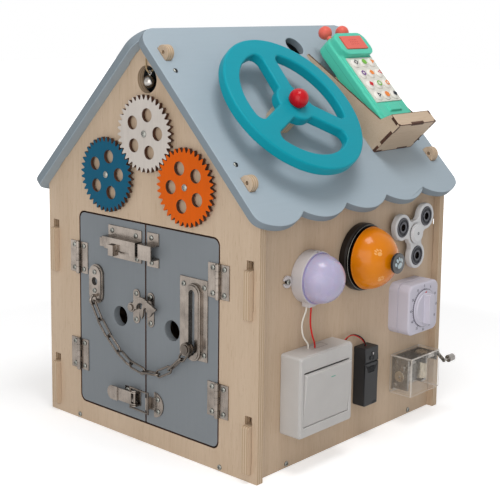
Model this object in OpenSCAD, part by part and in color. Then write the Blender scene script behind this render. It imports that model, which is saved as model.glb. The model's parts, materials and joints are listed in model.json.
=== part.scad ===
// Wooden busy board in the shape of a house, with latches, gears and switches on its faces.
// Millimetres. Z is up, the front gable faces -Y, and z = 0 is the surface it stands on.

/* [House] */
// Width of the front gable
house_w = 325; // [322:1:328]
// Depth from the front gable face to the back gable face
house_d = 325; // [323:1:327]
// Height of the ridge
apex_z = 449.5; // [445:0.5:454]
// Pitch of the roof in degrees
pitch = 46; // [45:0.5:47]
// Thickness of the plywood
ply = 9; // [9:0.5:10]
// How far the side walls stand in from the gable edges
wall_inset = 8; // [7.5:0.5:9]

/* [Roof] */
// Length of a roof panel along the ridge
roof_len = 353; // [348:1:358]
// Slope length from the ridge to the bottom of the scallops
roof_slope = 257; // [254:1:260]
// Number of scallops along the eave
scallops = 5; // [4:1:6]
// Depth of each scallop
scallop_depth = 12; // [8:1:13]

/* [Doors] */
// Width of the door opening
opening_w = 218; // [217.5:0.5:219]
// Height of the bottom of the door opening
opening_bottom = 22.5; // [22:0.5:23]
// Height of the top of the door opening
opening_top = 244.5; // [244:0.5:245]
// Gap between each door and its frame
door_gap = 1.4; // [1:0.1:1.4]
// Diameter of the finger holes
finger_d = 22; // [16:1:26]

/* [Gears] */
// Teeth on each gear
gear_teeth = 36; // [36:1:36]
// Radius to the tips of the teeth
gear_tip_r = 41; // [40.5:0.1:41.2]
// Radius to the root of the teeth
gear_root_r = 36; // [34:0.1:36]

/* [Steering wheel] */
// Outer radius of the wheel
wheel_r = 88; // [80:1:92]
// Width of the rim and of each spoke
wheel_rim = 20; // [14:1:22]
// Thickness of the wheel
wheel_t = 12; // [9:1:14]

/* [Wall fittings] */
// Side of the square switch box
switch_w = 86; // [86:1:86]
// Radius of the desk bell's dome at its rim
bell_r = 34; // [30:1:35]
// Outer diameter of the spinner's ball bearings
bearing_d = 22; // [22:1:22]
// Side of the square kitchen timer
timer_w = 58; // [54:1:60]

/* [Hidden] */
$fn = 48;

half_w = house_w / 2;
half_d = house_d / 2;
wall_x = half_w - wall_inset;
wall_in = wall_x - ply;
wall_y = half_d - ply;
wall_mid = wall_x - ply / 2;
roof_under = apex_z - ply / cos(pitch);
eave_z = roof_under - half_w * tan(pitch);
wall_top = 276;
eps = 0.01;

// side-wall tabs that hook over the gable panels
tab_zs = [19, 178];
tab_h = 41;
tab_proud = 6;
tab_lip = 10;
slot_w = ply + 0.5;
slot_h = 50;

// half-round ears of the gable panels that stand through the roof
ear_us = [35.3, 204.5];
ear_r = 8.5;
ear_rise = 1.6;
ear_gap = 0.2;
gable_mid = half_d - ply / 2;

// fasteners
shank_r = 1.5;
pilot_r = 1.6;
head_r = 2.8;
head_h = 1.7;
wood_bite = 7;
long_bite = 18;
roof_screw_us = [58, 180];
floor_screw_xs = [-111, 111];
floor_screw_ys = [-108, 113];

// doors and their hinges
door_t = ply;
door_in = 0.8;
door_out = opening_w / 2 - door_gap;
door_z = [opening_bottom + 1.5, opening_top - 1.5];
opening_r = 8.5;
finger_x = 40.5;
finger_z = 135;
pin_x = 108.5;
pin_off = 2.8;
pin_r = 1.1;
knuckle_r = 2.5;
knuckle_bore = 1.15;
leaf_w = 14.6;
leaf_t = 1.2;
hinge_h = 36;
knuckle_h = hinge_h / 5;
leaf_notch = 2.9;
hinge_z_left = [78.3, 191];
hinge_z_right = [75.9, 200.4];
leaf_screw_x = 8;
leaf_screw_z = 13.3;

// barrel bolt
bolt_z = 216;
bolt_hw = 5.8;
bolt_screws = [[-51.7, 229.7], [-13.8, 228.9], [-11.9, 203.7]];
keeper_screws = [[10.4, 230.4], [11, 203.7]];
plate_t = 1.5;

// safety chain
anchor_x = -78;
anchor_z = [143, 187.5];
anchor_r = 11;
anchor_t = 5;
anchor_screws = [[-78, 179], [-78, 158]];
chain_off = 8.2;
wire_r = 1.15;
link_r = 3.55;
link_pitch = 21.5;
link_half_join = 2.3;
chain_start = [-75.6, 144.1];
chain_angles = [-57, -48, -40, -28, -10, 5, 28, 42, 50];
track_plate_x = [53.6, 93.6];
track_plate_z = [112, 198];
track_x = 75;
track_slot_r = 4.2;
track_slot_z = [117.3, 186.2];
track_rim = 6.5;
track_step = 1.5;
track_top = 6;
track_screws = [[59.2, 190], [89, 190], [59.2, 119], [89, 119]];

// swing hook
hook_z = 152;
hook_left_x = -13.2;
hook_right_x = 9.2;
hook_plate_z = [132.6, 170.6];
hook_plate_r = 5;
hook_screw_z = [137.2, 165.9];
hook_off = [6.5, 9.5];
hook_slot = 3.1;

// toggle latch
toggle_x = -12;
toggle_off = 5.5;
toggle_z = [40.5, 58.5];
toggle_mid = 49.5;
bail_x = [-18, 11.4];
bail_off = 7.6;
bail_r = 1.1;
bail_arm_r = 1;
bail_drop = 1.4;
lever_cheek = 1.4;
bail_z = [38.2, 60.8];
toggle_base_screws = [[-27, 44.5], [-27, 54.5]];
catch_screws = [[20.4, 54.6], [20.9, 41.2]];

// gears on the gable
gear_white_at = [4, 340.5];
gear_side_dx = 60.5;
gear_side_dz = -49.5;
gear_back = 2;
gear_t = 4;
gear_phase = 5;
gear_step = 360 / gear_teeth;
gear_hole_r = 7.25;
gear_hole_at = 20.5;
gear_bore = 2.05;

// jingle bell in the round window
window_at = [2.5, 397];
window_r = 14.5;
cord_hole_z = 419.6;
cord_hole_r = 1.75;
jingle_r = 6.8;
jingle_z = 394.5;
cord_r = 0.75;

// roof fittings, as distance down the slope, distance along the ridge, height off the roof
wheel_u = 135;
wheel_v = -59;
wheel_face = 33;
wheel_hub_r = 23;
wheel_phase = 85;
spacer_r = 15;
axle_r = 4;
peep_u = 31;
peep_v = 53;
peep_r = 12.5;
holder_v = [62, 134];
holder_t = 3;
holder_u = [46, 190];
holder_lip = 47;
holder_lip_depth = 16;
holder_back_off = 9;
holder_tab = 10;
holder_tab_offs = [8, 28];
phone_v = 98;
phone_w = 60;
phone_u = [46, 186];
phone_back = 12.4;
phone_face = 33;
phone_head = 40;

// lamp
lamp_at = [-78.5, 199.4];
lamp_r = 28;
lamp_h = 14.5;
lamp_dome_r = 25.6;
lamp_dome_off = 16.9;
lamp_seat = 2;
lamp_lug = 34.5;

// switch and battery boxes
switch_y = [-119.5, -119.5 + switch_w];
switch_z = [40, 125.5];
switch_depth = 27;
rocker_at = [-76.5, 80];
rocker_w = 74;
rocker_h = 56;
rocker_tilt = 5;
rocker_off = 20;
battery_y = [4, 28];
battery_z = [40, 106];
battery_depth = 16;

// desk bell
bell_at = [9.5, 206.5];
bell_base_r = 37;
bell_base_h = 11;
bell_rim = 14;
bell_top = 45;
bell_ball = (bell_r * bell_r + (bell_top - bell_rim) * (bell_top - bell_rim)) / (2 * (bell_top - bell_rim));

// spinner
spinner_at = [99.5, 220.5];
spinner_arm = 26.8;
spinner_phase = 39;
spinner_lobe = 15;
spinner_off = 5;
spinner_t = 7;

// timer
timer_at = [96.5, 137];
timer_depth = 28;
timer_corner = 9;
timer_dial_r = 21;

// music box
music_y = [73.5, 131.5];
music_z = [36, 81];
music_depth = 30;
music_wall = 2;
drum_at = [119, 13];
drum_r = 6.5;
drum_z = [47, 66];
crank_off = 24;
crank_z = 75.5;
crank_arm = 12.6;
crank_phase = -142;
worm_wheel_r = 7.4;

// routes of the leads, as points [x, y, z]
lead_red_route = [
    [164.5, -84.5, 170], [164.5, -84.5, 167], [165, -85.5, 163], [166, -87, 158], [167, -88, 152.5],
    [168, -88, 147], [168.5, -87, 142], [168.5, -85, 137], [168, -82.5, 133], [167, -80.5, 130],
    [166.5, -79.5, 128], [166.5, -79.5, 125.5]
];
lead_white_route = [
    [161, -88, 170], [161, -88, 167], [160.5, -89, 163], [160, -91, 158], [159.5, -92.5, 152.5],
    [160, -93, 147], [160.5, -92.5, 142], [161.5, -91, 137], [162.5, -88.5, 133], [163, -86.5, 130],
    [163, -86, 128], [163, -86, 125.5]
];
battery_lead_route = [
    [161, -33.5, 112], [161, -30, 112], [160.5, -26, 113.5], [160, -22, 116], [159, -17, 119],
    [158.5, -11, 121], [158.5, -5, 121.5], [159, 1, 120], [160, 6, 117.5], [161, 10.5, 114],
    [162, 13, 110.5], [162.5, 14, 108], [162.5, 14, 106]
];
bell_cord_route = [
    [2.5, -158.1, 404.1], [2.5, -159.6, 404.3], [2.5, -161.2, 405.3], [2.5, -162.6, 407.2],
    [2.5, -163.4, 409.8], [2.5, -163.6, 412.3], [2.5, -163.6, 415], [2.5, -163.3, 418.2],
    [2.5, -161.4, 419.6], [2.5, -158, 419.6], [2.5, -154.6, 419.6], [2.5, -152.7, 418.2],
    [2.5, -152.4, 415], [2.5, -152.4, 412.3], [2.5, -152.6, 409.8], [2.5, -153.4, 407.2],
    [2.5, -154.8, 405.3], [2.5, -156.4, 404.3], [2.5, -157.9, 404.1]
];
lead_r = 0.9;
battery_lead_r = 1.2;

wood = "#d8c3a3";
paint = "#8f9499";
roof_paint = "#a6afb8";
steel = "#b3aa9c";
screw_steel = "#c6c2ba";

// ---------------------------------------------------------------- frames of reference

// local x to +X, local y to +Z, local z out of the front gable
module on_front(off = 0) {
    translate([0, -half_d - off, 0]) rotate([90, 0, 0]) children();
}

// local x to +Y, local y to +Z, local z out of the right wall
module on_wall(off = 0) {
    translate([wall_x + off, 0, 0]) rotate([90, 0, 90]) children();
}

// local x to +Y, local y up the right slope from the ridge, local z off the roof
module on_roof(off = 0) {
    translate([0, 0, apex_z]) rotate([0, pitch - 90, 0]) rotate([90, 0, 90])
        translate([0, 0, off]) children();
}

// ---------------------------------------------------------------- shared shapes

function arc(c, r, a0, a1, n) =
    [for (i = [0:n]) c + r * [cos(a0 + (a1 - a0) * i / n), sin(a0 + (a1 - a0) * i / n)]];

// rectangle between two corners with round corners
module rounded(lo, hi, r) {
    translate([lo[0] + r, lo[1]]) square([hi[0] - lo[0] - 2 * r, hi[1] - lo[1]]);
    translate([lo[0], lo[1] + r]) square([hi[0] - lo[0], hi[1] - lo[1] - 2 * r]);
    for (x = [lo[0] + r, hi[0] - r], y = [lo[1] + r, hi[1] - r]) translate([x, y]) circle(r);
}

// upright stadium
module stadium(x, z, r) {
    translate([x - r, z[0] + r]) square([2 * r, z[1] - z[0] - 2 * r]);
    for (c = [z[0] + r, z[1] - r]) translate([x, c]) circle(r);
}

module at_points(points, h = 0) {
    for (p = points) translate([p[0], p[1], h]) children();
}

// holes for screws at the given points of a plate
module screw_holes(points, depth) {
    at_points(points, -depth) cylinder(r = pilot_r, h = depth + 40);
}

// pan-head cross screw, with its seat at z = 0 and its shank below
module pan_screw(shank) {
    cap_r = 4.05;
    difference() {
        union() {
            translate([0, 0, -shank]) cylinder(r = shank_r, h = shank);
            intersection() {
                translate([0, 0, head_h - cap_r]) sphere(r = cap_r);
                cylinder(r = head_r, h = head_h);
            }
        }
        for (a = [0, 90]) rotate(a) translate([-1.7, -0.35, 0.7]) cube([3.4, 0.7, 2]);
    }
}

// tube of eight-sided rings swept along a list of points
module cord(points, r) {
    sides = 8;
    n = len(points);
    dirs = [for (i = [0:n - 1]) unit(points[min(i + 1, n - 1)] - points[max(i - 1, 0)])];
    rings = [for (i = [0:n - 1], j = [0:sides - 1])
        points[i] + r * (cos(360 * j / sides) * side_of(dirs[i])
            + sin(360 * j / sides) * cross(dirs[i], side_of(dirs[i])))];
    walls = [for (i = [0:n - 2], j = [0:sides - 1])
        [i * sides + j, i * sides + (j + 1) % sides, (i + 1) * sides + (j + 1) % sides,
            (i + 1) * sides + j]];
    ends = [[for (j = [sides - 1:-1:0]) j], [for (j = [0:sides - 1]) (n - 1) * sides + j]];
    polyhedron(points = rings, faces = [for (f = concat(walls, ends)) [for (k = [len(f) - 1:-1:0]) f[k]]]);
}

function unit(v) = v / norm(v);
function side_of(d) = unit(cross(d, abs(d[0]) > 0.9 ? [0, 0, 1] : [1, 0, 0]));

// ---------------------------------------------------------------- house

module gable_outline() {
    polygon([[-half_w, 0], [half_w, 0], [half_w, eave_z], [0, roof_under], [-half_w, eave_z]]);
    for (m = [0, 1], u = ear_us) mirror([m, 0])
        translate([u * cos(pitch), apex_z - u * sin(pitch)]) rotate(-pitch) {
            translate([-ear_r, -ply - 2]) square([2 * ear_r, ply + 2 + ear_rise]);
            translate([0, ear_rise]) circle(ear_r);
        }
}

module gable_cuts() {
    for (s = [-1, 1], z = tab_zs)
        translate([s * wall_mid - slot_w / 2, z]) square([slot_w, slot_h]);
    for (m = [0, 1], u = ear_us) mirror([m, 0])
        translate([u * cos(pitch), apex_z - u * sin(pitch)]) rotate(-pitch)
            translate([0, ear_r / 3]) circle(2);
    for (x = floor_screw_xs) translate([x, ply / 2]) circle(pilot_r);
}

// blind holes for the roof screws in a gable panel
module roof_screw_holes(y) {
    for (m = [0, 1]) mirror([m, 0, 0]) on_roof() for (u = roof_screw_us)
        translate([y, -u, -long_bite]) cylinder(r = pilot_r, h = long_bite + 5);
}

module front_panel() {
    color(wood) difference() {
        on_front(-ply) linear_extrude(ply) difference() {
            gable_outline();
            gable_cuts();
            rounded([-opening_w / 2, opening_bottom], [opening_w / 2, opening_top], opening_r);
            translate(window_at) circle(window_r);
            translate([window_at[0], cord_hole_z]) circle(cord_hole_r);
        }
        on_front() {
            for (s = [-1, 1]) {
                mirror([s < 0 ? 0 : 1, 0, 0]) for (z = s < 0 ? hinge_z_left : hinge_z_right)
                    for (d = [-leaf_screw_z, leaf_screw_z])
                        translate([-pin_x - leaf_screw_x, z + d, -wood_bite]) cylinder(r = pilot_r, h = 20);
                translate([gear_white_at[0] + s * gear_side_dx, gear_white_at[1] + gear_side_dz, -wood_bite])
                    cylinder(r = 2.1, h = 20);
            }
            translate([gear_white_at[0], gear_white_at[1], -wood_bite]) cylinder(r = 2.1, h = 20);
        }
        roof_screw_holes(-gable_mid);
    }
}

module back_panel() {
    color(wood) difference() {
        translate([0, half_d, 0]) rotate([90, 0, 0]) linear_extrude(ply) difference() {
            gable_outline();
            gable_cuts();
        }
        roof_screw_holes(gable_mid);
    }
}

// side wall in its own plane, local x to +Y and local y up
module wall_outline() {
    translate([-wall_y, 0]) square([2 * wall_y, wall_top]);
    for (m = [0, 1], z = tab_zs) mirror([m, 0]) {
        translate([wall_y - eps, z]) square([ply + 3, tab_h]);
        rounded([half_d, z - tab_lip], [half_d + tab_proud, z + tab_h], 2.5);
        translate([half_d, z]) square([3, tab_h]);
        translate([half_d, z - tab_lip]) square([3, tab_h]);
    }
}

module wall_panel(fitting_screws) {
    difference() {
        on_wall(-ply) linear_extrude(ply) wall_outline();
        on_wall() {
            for (y = floor_screw_ys) translate([y, ply / 2, -ply - 1]) cylinder(r = pilot_r, h = ply + 2);
            screw_holes(fitting_screws, wood_bite);
        }
    }
}

lamp_screws = [[lamp_at[0] - lamp_lug, lamp_at[1]], [lamp_at[0] + lamp_lug, lamp_at[1]]];

module left_wall() {
    color(wood) mirror([1, 0, 0]) wall_panel([]);
}

module right_wall() {
    color(wood) wall_panel(lamp_screws);
}

module floor_panel() {
    color(wood) difference() {
        translate([-wall_in, -wall_y, 0]) cube([2 * wall_in, 2 * wall_y, ply]);
        for (s = [-1, 1]) {
            for (x = floor_screw_xs) translate([x, s * wall_y, ply / 2]) rotate([90, 0, 0])
                cylinder(r = pilot_r, h = 24, center = true);
            for (y = floor_screw_ys) translate([s * wall_in, y, ply / 2]) rotate([0, 90, 0])
                cylinder(r = pilot_r, h = 24, center = true);
        }
    }
}

scallop_pitch = roof_len / scallops;
scallop_r = (scallop_pitch * scallop_pitch / 4 + scallop_depth * scallop_depth) / (2 * scallop_depth);
eave_fillet = 14;
ridge_fillet = 24;
fillet_dv = scallop_pitch / 2 - eave_fillet;
fillet_du = sqrt(pow(scallop_r - eave_fillet, 2) - fillet_dv * fillet_dv);

// roof panel in its own plane: local x along the ridge, local y up the slope
module roof_outline() {
    scallop_y = -(roof_slope - scallop_r);
    fillet_y = scallop_y - fillet_du;
    reach = 40;
    difference() {
        intersection() {
            union() {
                translate([-roof_len / 2, -(roof_slope - scallop_depth)])
                    square([roof_len, roof_slope - scallop_depth]);
                for (i = [0:scallops - 1])
                    translate([(i + 0.5) * scallop_pitch - roof_len / 2, scallop_y])
                        circle(scallop_r, $fn = 96);
            }
            translate([-roof_len / 2, -roof_slope - 1]) square([roof_len, roof_slope + 1]);
        }
        for (m = [0, 1]) mirror([m, 0]) {
            translate([roof_len / 2 - eave_fillet, fillet_y]) difference() {
                polygon([[0, 0], [reach, 0], [reach, -reach],
                    reach / (scallop_r - eave_fillet) * [fillet_dv, -fillet_du]]);
                circle(eave_fillet);
            }
            translate([roof_len / 2 - ridge_fillet, -ridge_fillet]) difference() {
                square(ridge_fillet + 1);
                circle(ridge_fillet);
            }
        }
    }
}

module roof_panel() {
    difference() {
        on_roof(-ply) linear_extrude(ply) difference() {
            roof_outline();
            for (s = [-1, 1], u = ear_us)
                translate([s * gable_mid - ply / 2 - ear_gap, -u - ear_r - ear_gap])
                    square([ply + 2 * ear_gap, 2 * (ear_r + ear_gap)]);
        }
        translate([-300, -300, 0]) cube([300, 600, 600]);
        on_roof(-ply - 1) for (s = [-1, 1], u = roof_screw_us)
            translate([s * gable_mid, -u, 0]) cylinder(r = pilot_r, h = ply + 2);
    }
}

module roof_left() {
    color(roof_paint) mirror([1, 0, 0]) roof_panel();
}

module roof_right() {
    color(roof_paint) difference() {
        roof_panel();
        on_roof(-ply - 1) {
            translate([wheel_v, -wheel_u, 0]) cylinder(r = axle_r + 0.1, h = ply + 2);
            translate([peep_v, -peep_u, 0]) cylinder(r = peep_r, h = ply + 2);
        }
    }
}

// shoulder screw that a gear turns on, with the panel's face at z = 0
module gear_screw() {
    difference() {
        union() {
            translate([0, 0, -wood_bite]) cylinder(r = 2, h = wood_bite + 6.3);
            cylinder(r = 5, h = gear_back - 0.2);
            translate([0, 0, gear_back + gear_t + 0.2]) intersection() {
                translate([0, 0, -3.4]) sphere(r = 5.2);
                cylinder(r = 3.6, h = 1.8);
            }
        }
        for (a = [20, 110]) rotate(a) translate([-2.2, -0.45, gear_back + gear_t + 1.1]) cube([4.4, 0.9, 2]);
    }
}

module screws() {
    color(screw_steel) {
        for (s = [-1, 1], x = floor_screw_xs)
            translate([x, s * half_d, ply / 2]) rotate([s < 0 ? 90 : -90, 0, 0]) pan_screw(long_bite);
        for (s = [-1, 1], y = floor_screw_ys)
            translate([s * wall_x, y, ply / 2]) rotate([0, s * 90, 0]) pan_screw(long_bite);
        for (m = [0, 1]) mirror([m, 0, 0]) on_roof()
            for (s = [-1, 1], u = roof_screw_us) translate([s * gable_mid, -u, 0]) pan_screw(long_bite - 1);
        on_front(leaf_t) for (s = [-1, 1], i = [0, 1], d = [-leaf_screw_z, leaf_screw_z])
            translate([s * (pin_x + leaf_screw_x), (s < 0 ? hinge_z_left : hinge_z_right)[i] + d, 0])
                pan_screw(wood_bite);
        on_front() {
            translate([gear_white_at[0], gear_white_at[1], 0]) gear_screw();
            for (s = [-1, 1])
                translate([gear_white_at[0] + s * gear_side_dx, gear_white_at[1] + gear_side_dz, 0])
                    gear_screw();
        }
        on_wall(3) at_points(lamp_screws) pan_screw(wood_bite);
    }
}

// ---------------------------------------------------------------- hinges

// one half of a butt hinge; the pin runs along y at z = pin_off and the leaf reaches to +x
module hinge_half(own, bore) {
    difference() {
        union() {
            difference() {
                translate([0, -hinge_h / 2, 0]) cube([leaf_w, hinge_h, leaf_t]);
                for (i = [0:4]) if (i % 2 != own)
                    translate([-1, (i - 2.5) * knuckle_h - 0.1, -1]) cube([leaf_notch + 1, knuckle_h + 0.2, 5]);
            }
            for (i = [0:4]) if (i % 2 == own)
                translate([0, (i - 2.5) * knuckle_h + 0.1, pin_off]) rotate([-90, 0, 0])
                    cylinder(r = knuckle_r, h = knuckle_h - 0.2);
        }
        for (d = [-leaf_screw_z, leaf_screw_z]) translate([leaf_screw_x, d, -1]) cylinder(r = pilot_r, h = 5);
        if (bore) translate([0, -hinge_h / 2 - 1, pin_off]) rotate([-90, 0, 0])
            cylinder(r = knuckle_bore, h = hinge_h + 2);
    }
}

module hinge_pin() {
    translate([0, -hinge_h / 2 - 0.8, pin_off]) rotate([-90, 0, 0]) cylinder(r = pin_r, h = hinge_h + 1.6);
    for (s = [-1, 1]) translate([0, s * (hinge_h / 2 + 0.4), pin_off]) rotate([-90, 0, 0])
        cylinder(r = 1.8, h = 0.9, center = true);
}

module frame_hinges() {
    color(steel) on_front() {
        for (z = hinge_z_left) translate([-pin_x, z, 0]) {
            mirror([1, 0, 0]) hinge_half(0, false);
            hinge_pin();
        }
        for (z = hinge_z_right) translate([pin_x, z, 0]) {
            hinge_half(0, false);
            hinge_pin();
        }
    }
}

module left_hinge_leaves() {
    color(steel) on_front() for (z = hinge_z_left) translate([-pin_x, z, 0]) hinge_half(1, true);
}

module right_hinge_leaves() {
    color(steel) on_front() for (z = hinge_z_right) translate([pin_x, z, 0])
        mirror([1, 0, 0]) hinge_half(1, true);
}

// ---------------------------------------------------------------- doors

leaf_points_left = [for (z = hinge_z_left, d = [-leaf_screw_z, leaf_screw_z]) [-pin_x + leaf_screw_x, z + d]];
leaf_points_right = [for (z = hinge_z_right, d = [-leaf_screw_z, leaf_screw_z]) [pin_x - leaf_screw_x, z + d]];
hook_points_left = [for (z = hook_screw_z) [hook_left_x, z]];
hook_points_right = [for (z = hook_screw_z) [hook_right_x, z]];
left_points = concat(leaf_points_left, bolt_screws, anchor_screws, hook_points_left, toggle_base_screws);
right_points = concat(leaf_points_right, keeper_screws, hook_points_right, catch_screws, track_screws);

// door leaf, drawn for the right-hand side
module door_leaf() {
    linear_extrude(door_t) difference() {
        union() {
            rounded([door_in, door_z[0]], [door_out, door_z[1]], opening_r - 1);
            translate([door_in, door_z[0]]) square([20, door_z[1] - door_z[0]]);
        }
        translate([finger_x, finger_z]) circle(finger_d / 2);
    }
}

module left_door() {
    color(paint) difference() {
        on_front(-door_t) mirror([1, 0, 0]) door_leaf();
        on_front() screw_holes(left_points, wood_bite);
    }
}

module right_door() {
    color(paint) difference() {
        on_front(-door_t) door_leaf();
        on_front() screw_holes(right_points, wood_bite);
    }
}

module left_door_screws() {
    color(screw_steel) on_front() {
        at_points(leaf_points_left, leaf_t) pan_screw(wood_bite);
        at_points(concat(bolt_screws, toggle_base_screws), plate_t) pan_screw(wood_bite);
        at_points(hook_points_left, plate_t) pan_screw(wood_bite);
        at_points(anchor_screws, anchor_t) pan_screw(anchor_t + 6);
    }
}

module right_door_screws() {
    color(screw_steel) on_front() {
        at_points(leaf_points_right, leaf_t) pan_screw(wood_bite);
        at_points(concat(keeper_screws, hook_points_right, catch_screws, track_screws), plate_t)
            pan_screw(wood_bite);
    }
}

// ---------------------------------------------------------------- barrel bolt

bolt_wall = [bolt_z - bolt_hw - 0.6, bolt_z + bolt_hw + 0.6];
bolt_skin = 1.7;
bolt_h = 11;

module bolt_case() {
    color(steel) on_front() difference() {
        union() {
            linear_extrude(plate_t)
                polygon([[-58, 235.5], [-5, 235.5], [-5, 199.8], [-50, 199.8], [-58, 207.5]]);
            translate([-58, bolt_wall[1], 0]) cube([53, bolt_skin, bolt_h]);
            translate([-58, bolt_wall[1] - 4.5, bolt_h - bolt_skin]) cube([53, 4.5 + bolt_skin, bolt_skin]);
            translate([-14, bolt_wall[0] - bolt_skin, 0]) cube([9, bolt_skin, bolt_h]);
            translate([-14, bolt_wall[0] - bolt_skin, bolt_h - bolt_skin])
                cube([9, bolt_wall[1] - bolt_wall[0] + 2 * bolt_skin, bolt_skin]);
            translate([-50, bolt_wall[0] - bolt_skin, 0]) cube([37, bolt_skin, 4.4]);
        }
        screw_holes(bolt_screws, 1);
    }
}

module bolt_bar() {
    color(steel) on_front() {
        translate([-57, bolt_z - bolt_hw, 2.2]) cube([51, 2 * bolt_hw, 6.4]);
        translate([-66.5, 211, 2.2]) cube([10, 10, 4.6]);
        translate([-45, bolt_z - bolt_hw, 8]) cube([8, 6.6, 3]);
        translate([-45, 204.6, 10]) cube([8, 12.2, 4]);
        translate([-45, 204.6, 5.4]) cube([8, 5.2, 6]);
    }
}

module bolt_keeper() {
    color(steel) on_front() difference() {
        union() {
            translate([4, 199, 0]) cube([17.5, bolt_wall[0] - 199, plate_t]);
            translate([4, bolt_wall[1], 0]) cube([17.5, 236 - bolt_wall[1], plate_t]);
            translate([1.5, bolt_wall[0] - bolt_skin, 0])
                cube([20, bolt_wall[1] - bolt_wall[0] + 2 * bolt_skin, 13]);
        }
        translate([0, bolt_wall[0], -1]) cube([30, bolt_wall[1] - bolt_wall[0], 13 - bolt_skin + 1]);
        screw_holes(keeper_screws, 1);
    }
}

// ---------------------------------------------------------------- safety chain

module chain_anchor() {
    color(steel) on_front() {
        difference() {
            union() {
                linear_extrude(3) stadium(anchor_x, anchor_z, anchor_r);
                translate([0, 0, 3 - eps]) linear_extrude(anchor_t - 3)
                    stadium(anchor_x, [anchor_z[0] + 1.5, anchor_z[1] - 1.5], anchor_r - 1.5);
            }
            translate([anchor_x, 168.5, -1]) cylinder(r = 4.5, h = 12);
            screw_holes(anchor_screws, 1);
        }
        translate([chain_start[0], chain_start[1] + 4.6, chain_off]) rotate([0, 90, 0])
            rotate_extrude() translate([4.6, 0]) circle(1.6, $fn = 24);
    }
}

// joint points of the chain, from the anchor's eye to the button
function joint_at(i) = i == 0
    ? chain_start - link_half_join * [cos(chain_angles[0]), sin(chain_angles[0])]
    : joint_at(i - 1) + link_pitch * [cos(chain_angles[i - 1]), sin(chain_angles[i - 1])];

chain_links = len(chain_angles);
link_span = link_pitch - 2 * link_half_join;
button_at = joint_at(chain_links - 1)
    + (link_pitch - link_half_join) * [cos(chain_angles[chain_links - 1]), sin(chain_angles[chain_links - 1])];

// oval link along +x with its first end's centre at the origin, flat in the xy plane
module chain_link() {
    for (s = [-1, 1]) translate([0, s * link_r, 0]) rotate([0, 90, 0]) cylinder(r = wire_r, h = link_span);
    rotate(90) rotate_extrude(angle = 180) translate([link_r, 0]) circle(wire_r, $fn = 24);
    translate([link_span, 0, 0]) rotate(-90) rotate_extrude(angle = 180) translate([link_r, 0])
        circle(wire_r, $fn = 24);
}

module door_chain() {
    color(steel) on_front() {
        for (i = [0:chain_links - 1]) translate([joint_at(i)[0], joint_at(i)[1], chain_off])
            rotate(chain_angles[i]) rotate([i % 2 * 90, 0, 0]) translate([link_half_join, 0, 0]) chain_link();
        translate([button_at[0], button_at[1], 0]) {
            translate([0, 0, 5]) cylinder(r = 1.9, h = 10);
            translate([0, 0, track_top + 0.25]) cylinder(r = 4.6, h = 0.6);
            translate([0, 0, 9.6]) cylinder(r = 6.8, h = 2.4);
            translate([0, 0, 11.9]) cylinder(r = 5.9, h = 1);
            translate([0, 0, 12.8]) cylinder(r = 6.5, h = 2.2);
            translate([0, 0, 14.9]) cylinder(r = 4.6, h = 1.1);
        }
    }
}

// raised surround of the track, set in from the full width of its rim
module track_surround(inset) {
    stadium(track_x, [track_slot_z[0] - track_rim + inset, track_slot_z[1] + track_rim - inset],
        track_slot_r + track_rim - inset);
}

module chain_track() {
    color(steel) on_front() difference() {
        union() {
            translate([track_plate_x[0], track_plate_z[0], 0])
                cube([track_plate_x[1] - track_plate_x[0], track_plate_z[1] - track_plate_z[0], plate_t]);
            linear_extrude(track_top - track_step) track_surround(0);
            translate([0, 0, track_top - track_step - eps]) linear_extrude(track_step + eps)
                track_surround(track_step);
        }
        translate([0, 0, -1]) linear_extrude(track_top + 2) stadium(track_x, track_slot_z, track_slot_r);
        screw_holes(track_screws, 1);
        at_points(track_screws, plate_t) cylinder(r = head_r + 0.3, h = 10);
    }
}

// ---------------------------------------------------------------- swing hook

module hook_plate(x) {
    linear_extrude(plate_t) difference() {
        stadium(x, hook_plate_z, hook_plate_r);
        for (z = hook_screw_z) translate([x, z]) circle(pilot_r);
    }
}

module hook_plate_left() {
    color(steel) on_front() {
        hook_plate(hook_left_x);
        translate([hook_left_x, hook_z, 0]) {
            cylinder(r = 4, h = hook_off[0] - 0.2);
            cylinder(r = 2.4, h = hook_off[1] + 0.4);
            translate([0, 0, hook_off[1] + 0.2]) cylinder(r = 3.6, h = 1.3);
        }
    }
}

module hook_plate_right() {
    color(steel) on_front() {
        hook_plate(hook_right_x);
        translate([hook_right_x, hook_z, 0]) cylinder(r = 2, h = hook_off[0] + 1);
    }
}

// flat outline of the arm: eye, arch, head with its tip, and the finger lip
module hook_head() {
    tip = [[13, 159], [17, 160.5], [25.3, 156.4], [24.6, 154.8], [18.5, 150.5], [13, 150.5]];
    translate([11.5, 153.6]) circle(8.2);
    polygon(tip);
}

module hook_body() {
    arch = [2.2, hook_z];
    translate([hook_left_x, hook_z]) circle(5.2);
    intersection() {
        translate(arch) difference() {
            circle(13.8);
            circle(7.2);
        }
        translate([-40, hook_z - 1]) square([80, 40]);
    }
    intersection() {
        polygon([[-1, 153], [1.2, 146], [3, 142], [5.5, 142.4], [8, 153]]);
        translate([hook_left_x, hook_z]) circle(hook_right_x - hook_left_x - hook_slot);
    }
}

module hook_arm() {
    reach = hook_right_x - hook_left_x;
    t = hook_off[1] - hook_off[0];
    color(steel) on_front(hook_off[0]) difference() {
        union() {
            linear_extrude(t) hook_body();
            linear_extrude(t) hook_head();
        }
        translate([hook_left_x, hook_z, -1]) cylinder(r = 2.46, h = t + 2);
        translate([hook_right_x, hook_z, -1]) cylinder(r = hook_slot, h = t + 2);
        translate([0, 0, -1]) linear_extrude(t + 2) intersection() {
            translate([hook_left_x, hook_z]) difference() {
                circle(reach + hook_slot);
                circle(reach - hook_slot);
            }
            translate([-10, hook_z - 30]) square([40, 30]);
        }
    }
}

// ---------------------------------------------------------------- toggle latch

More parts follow.
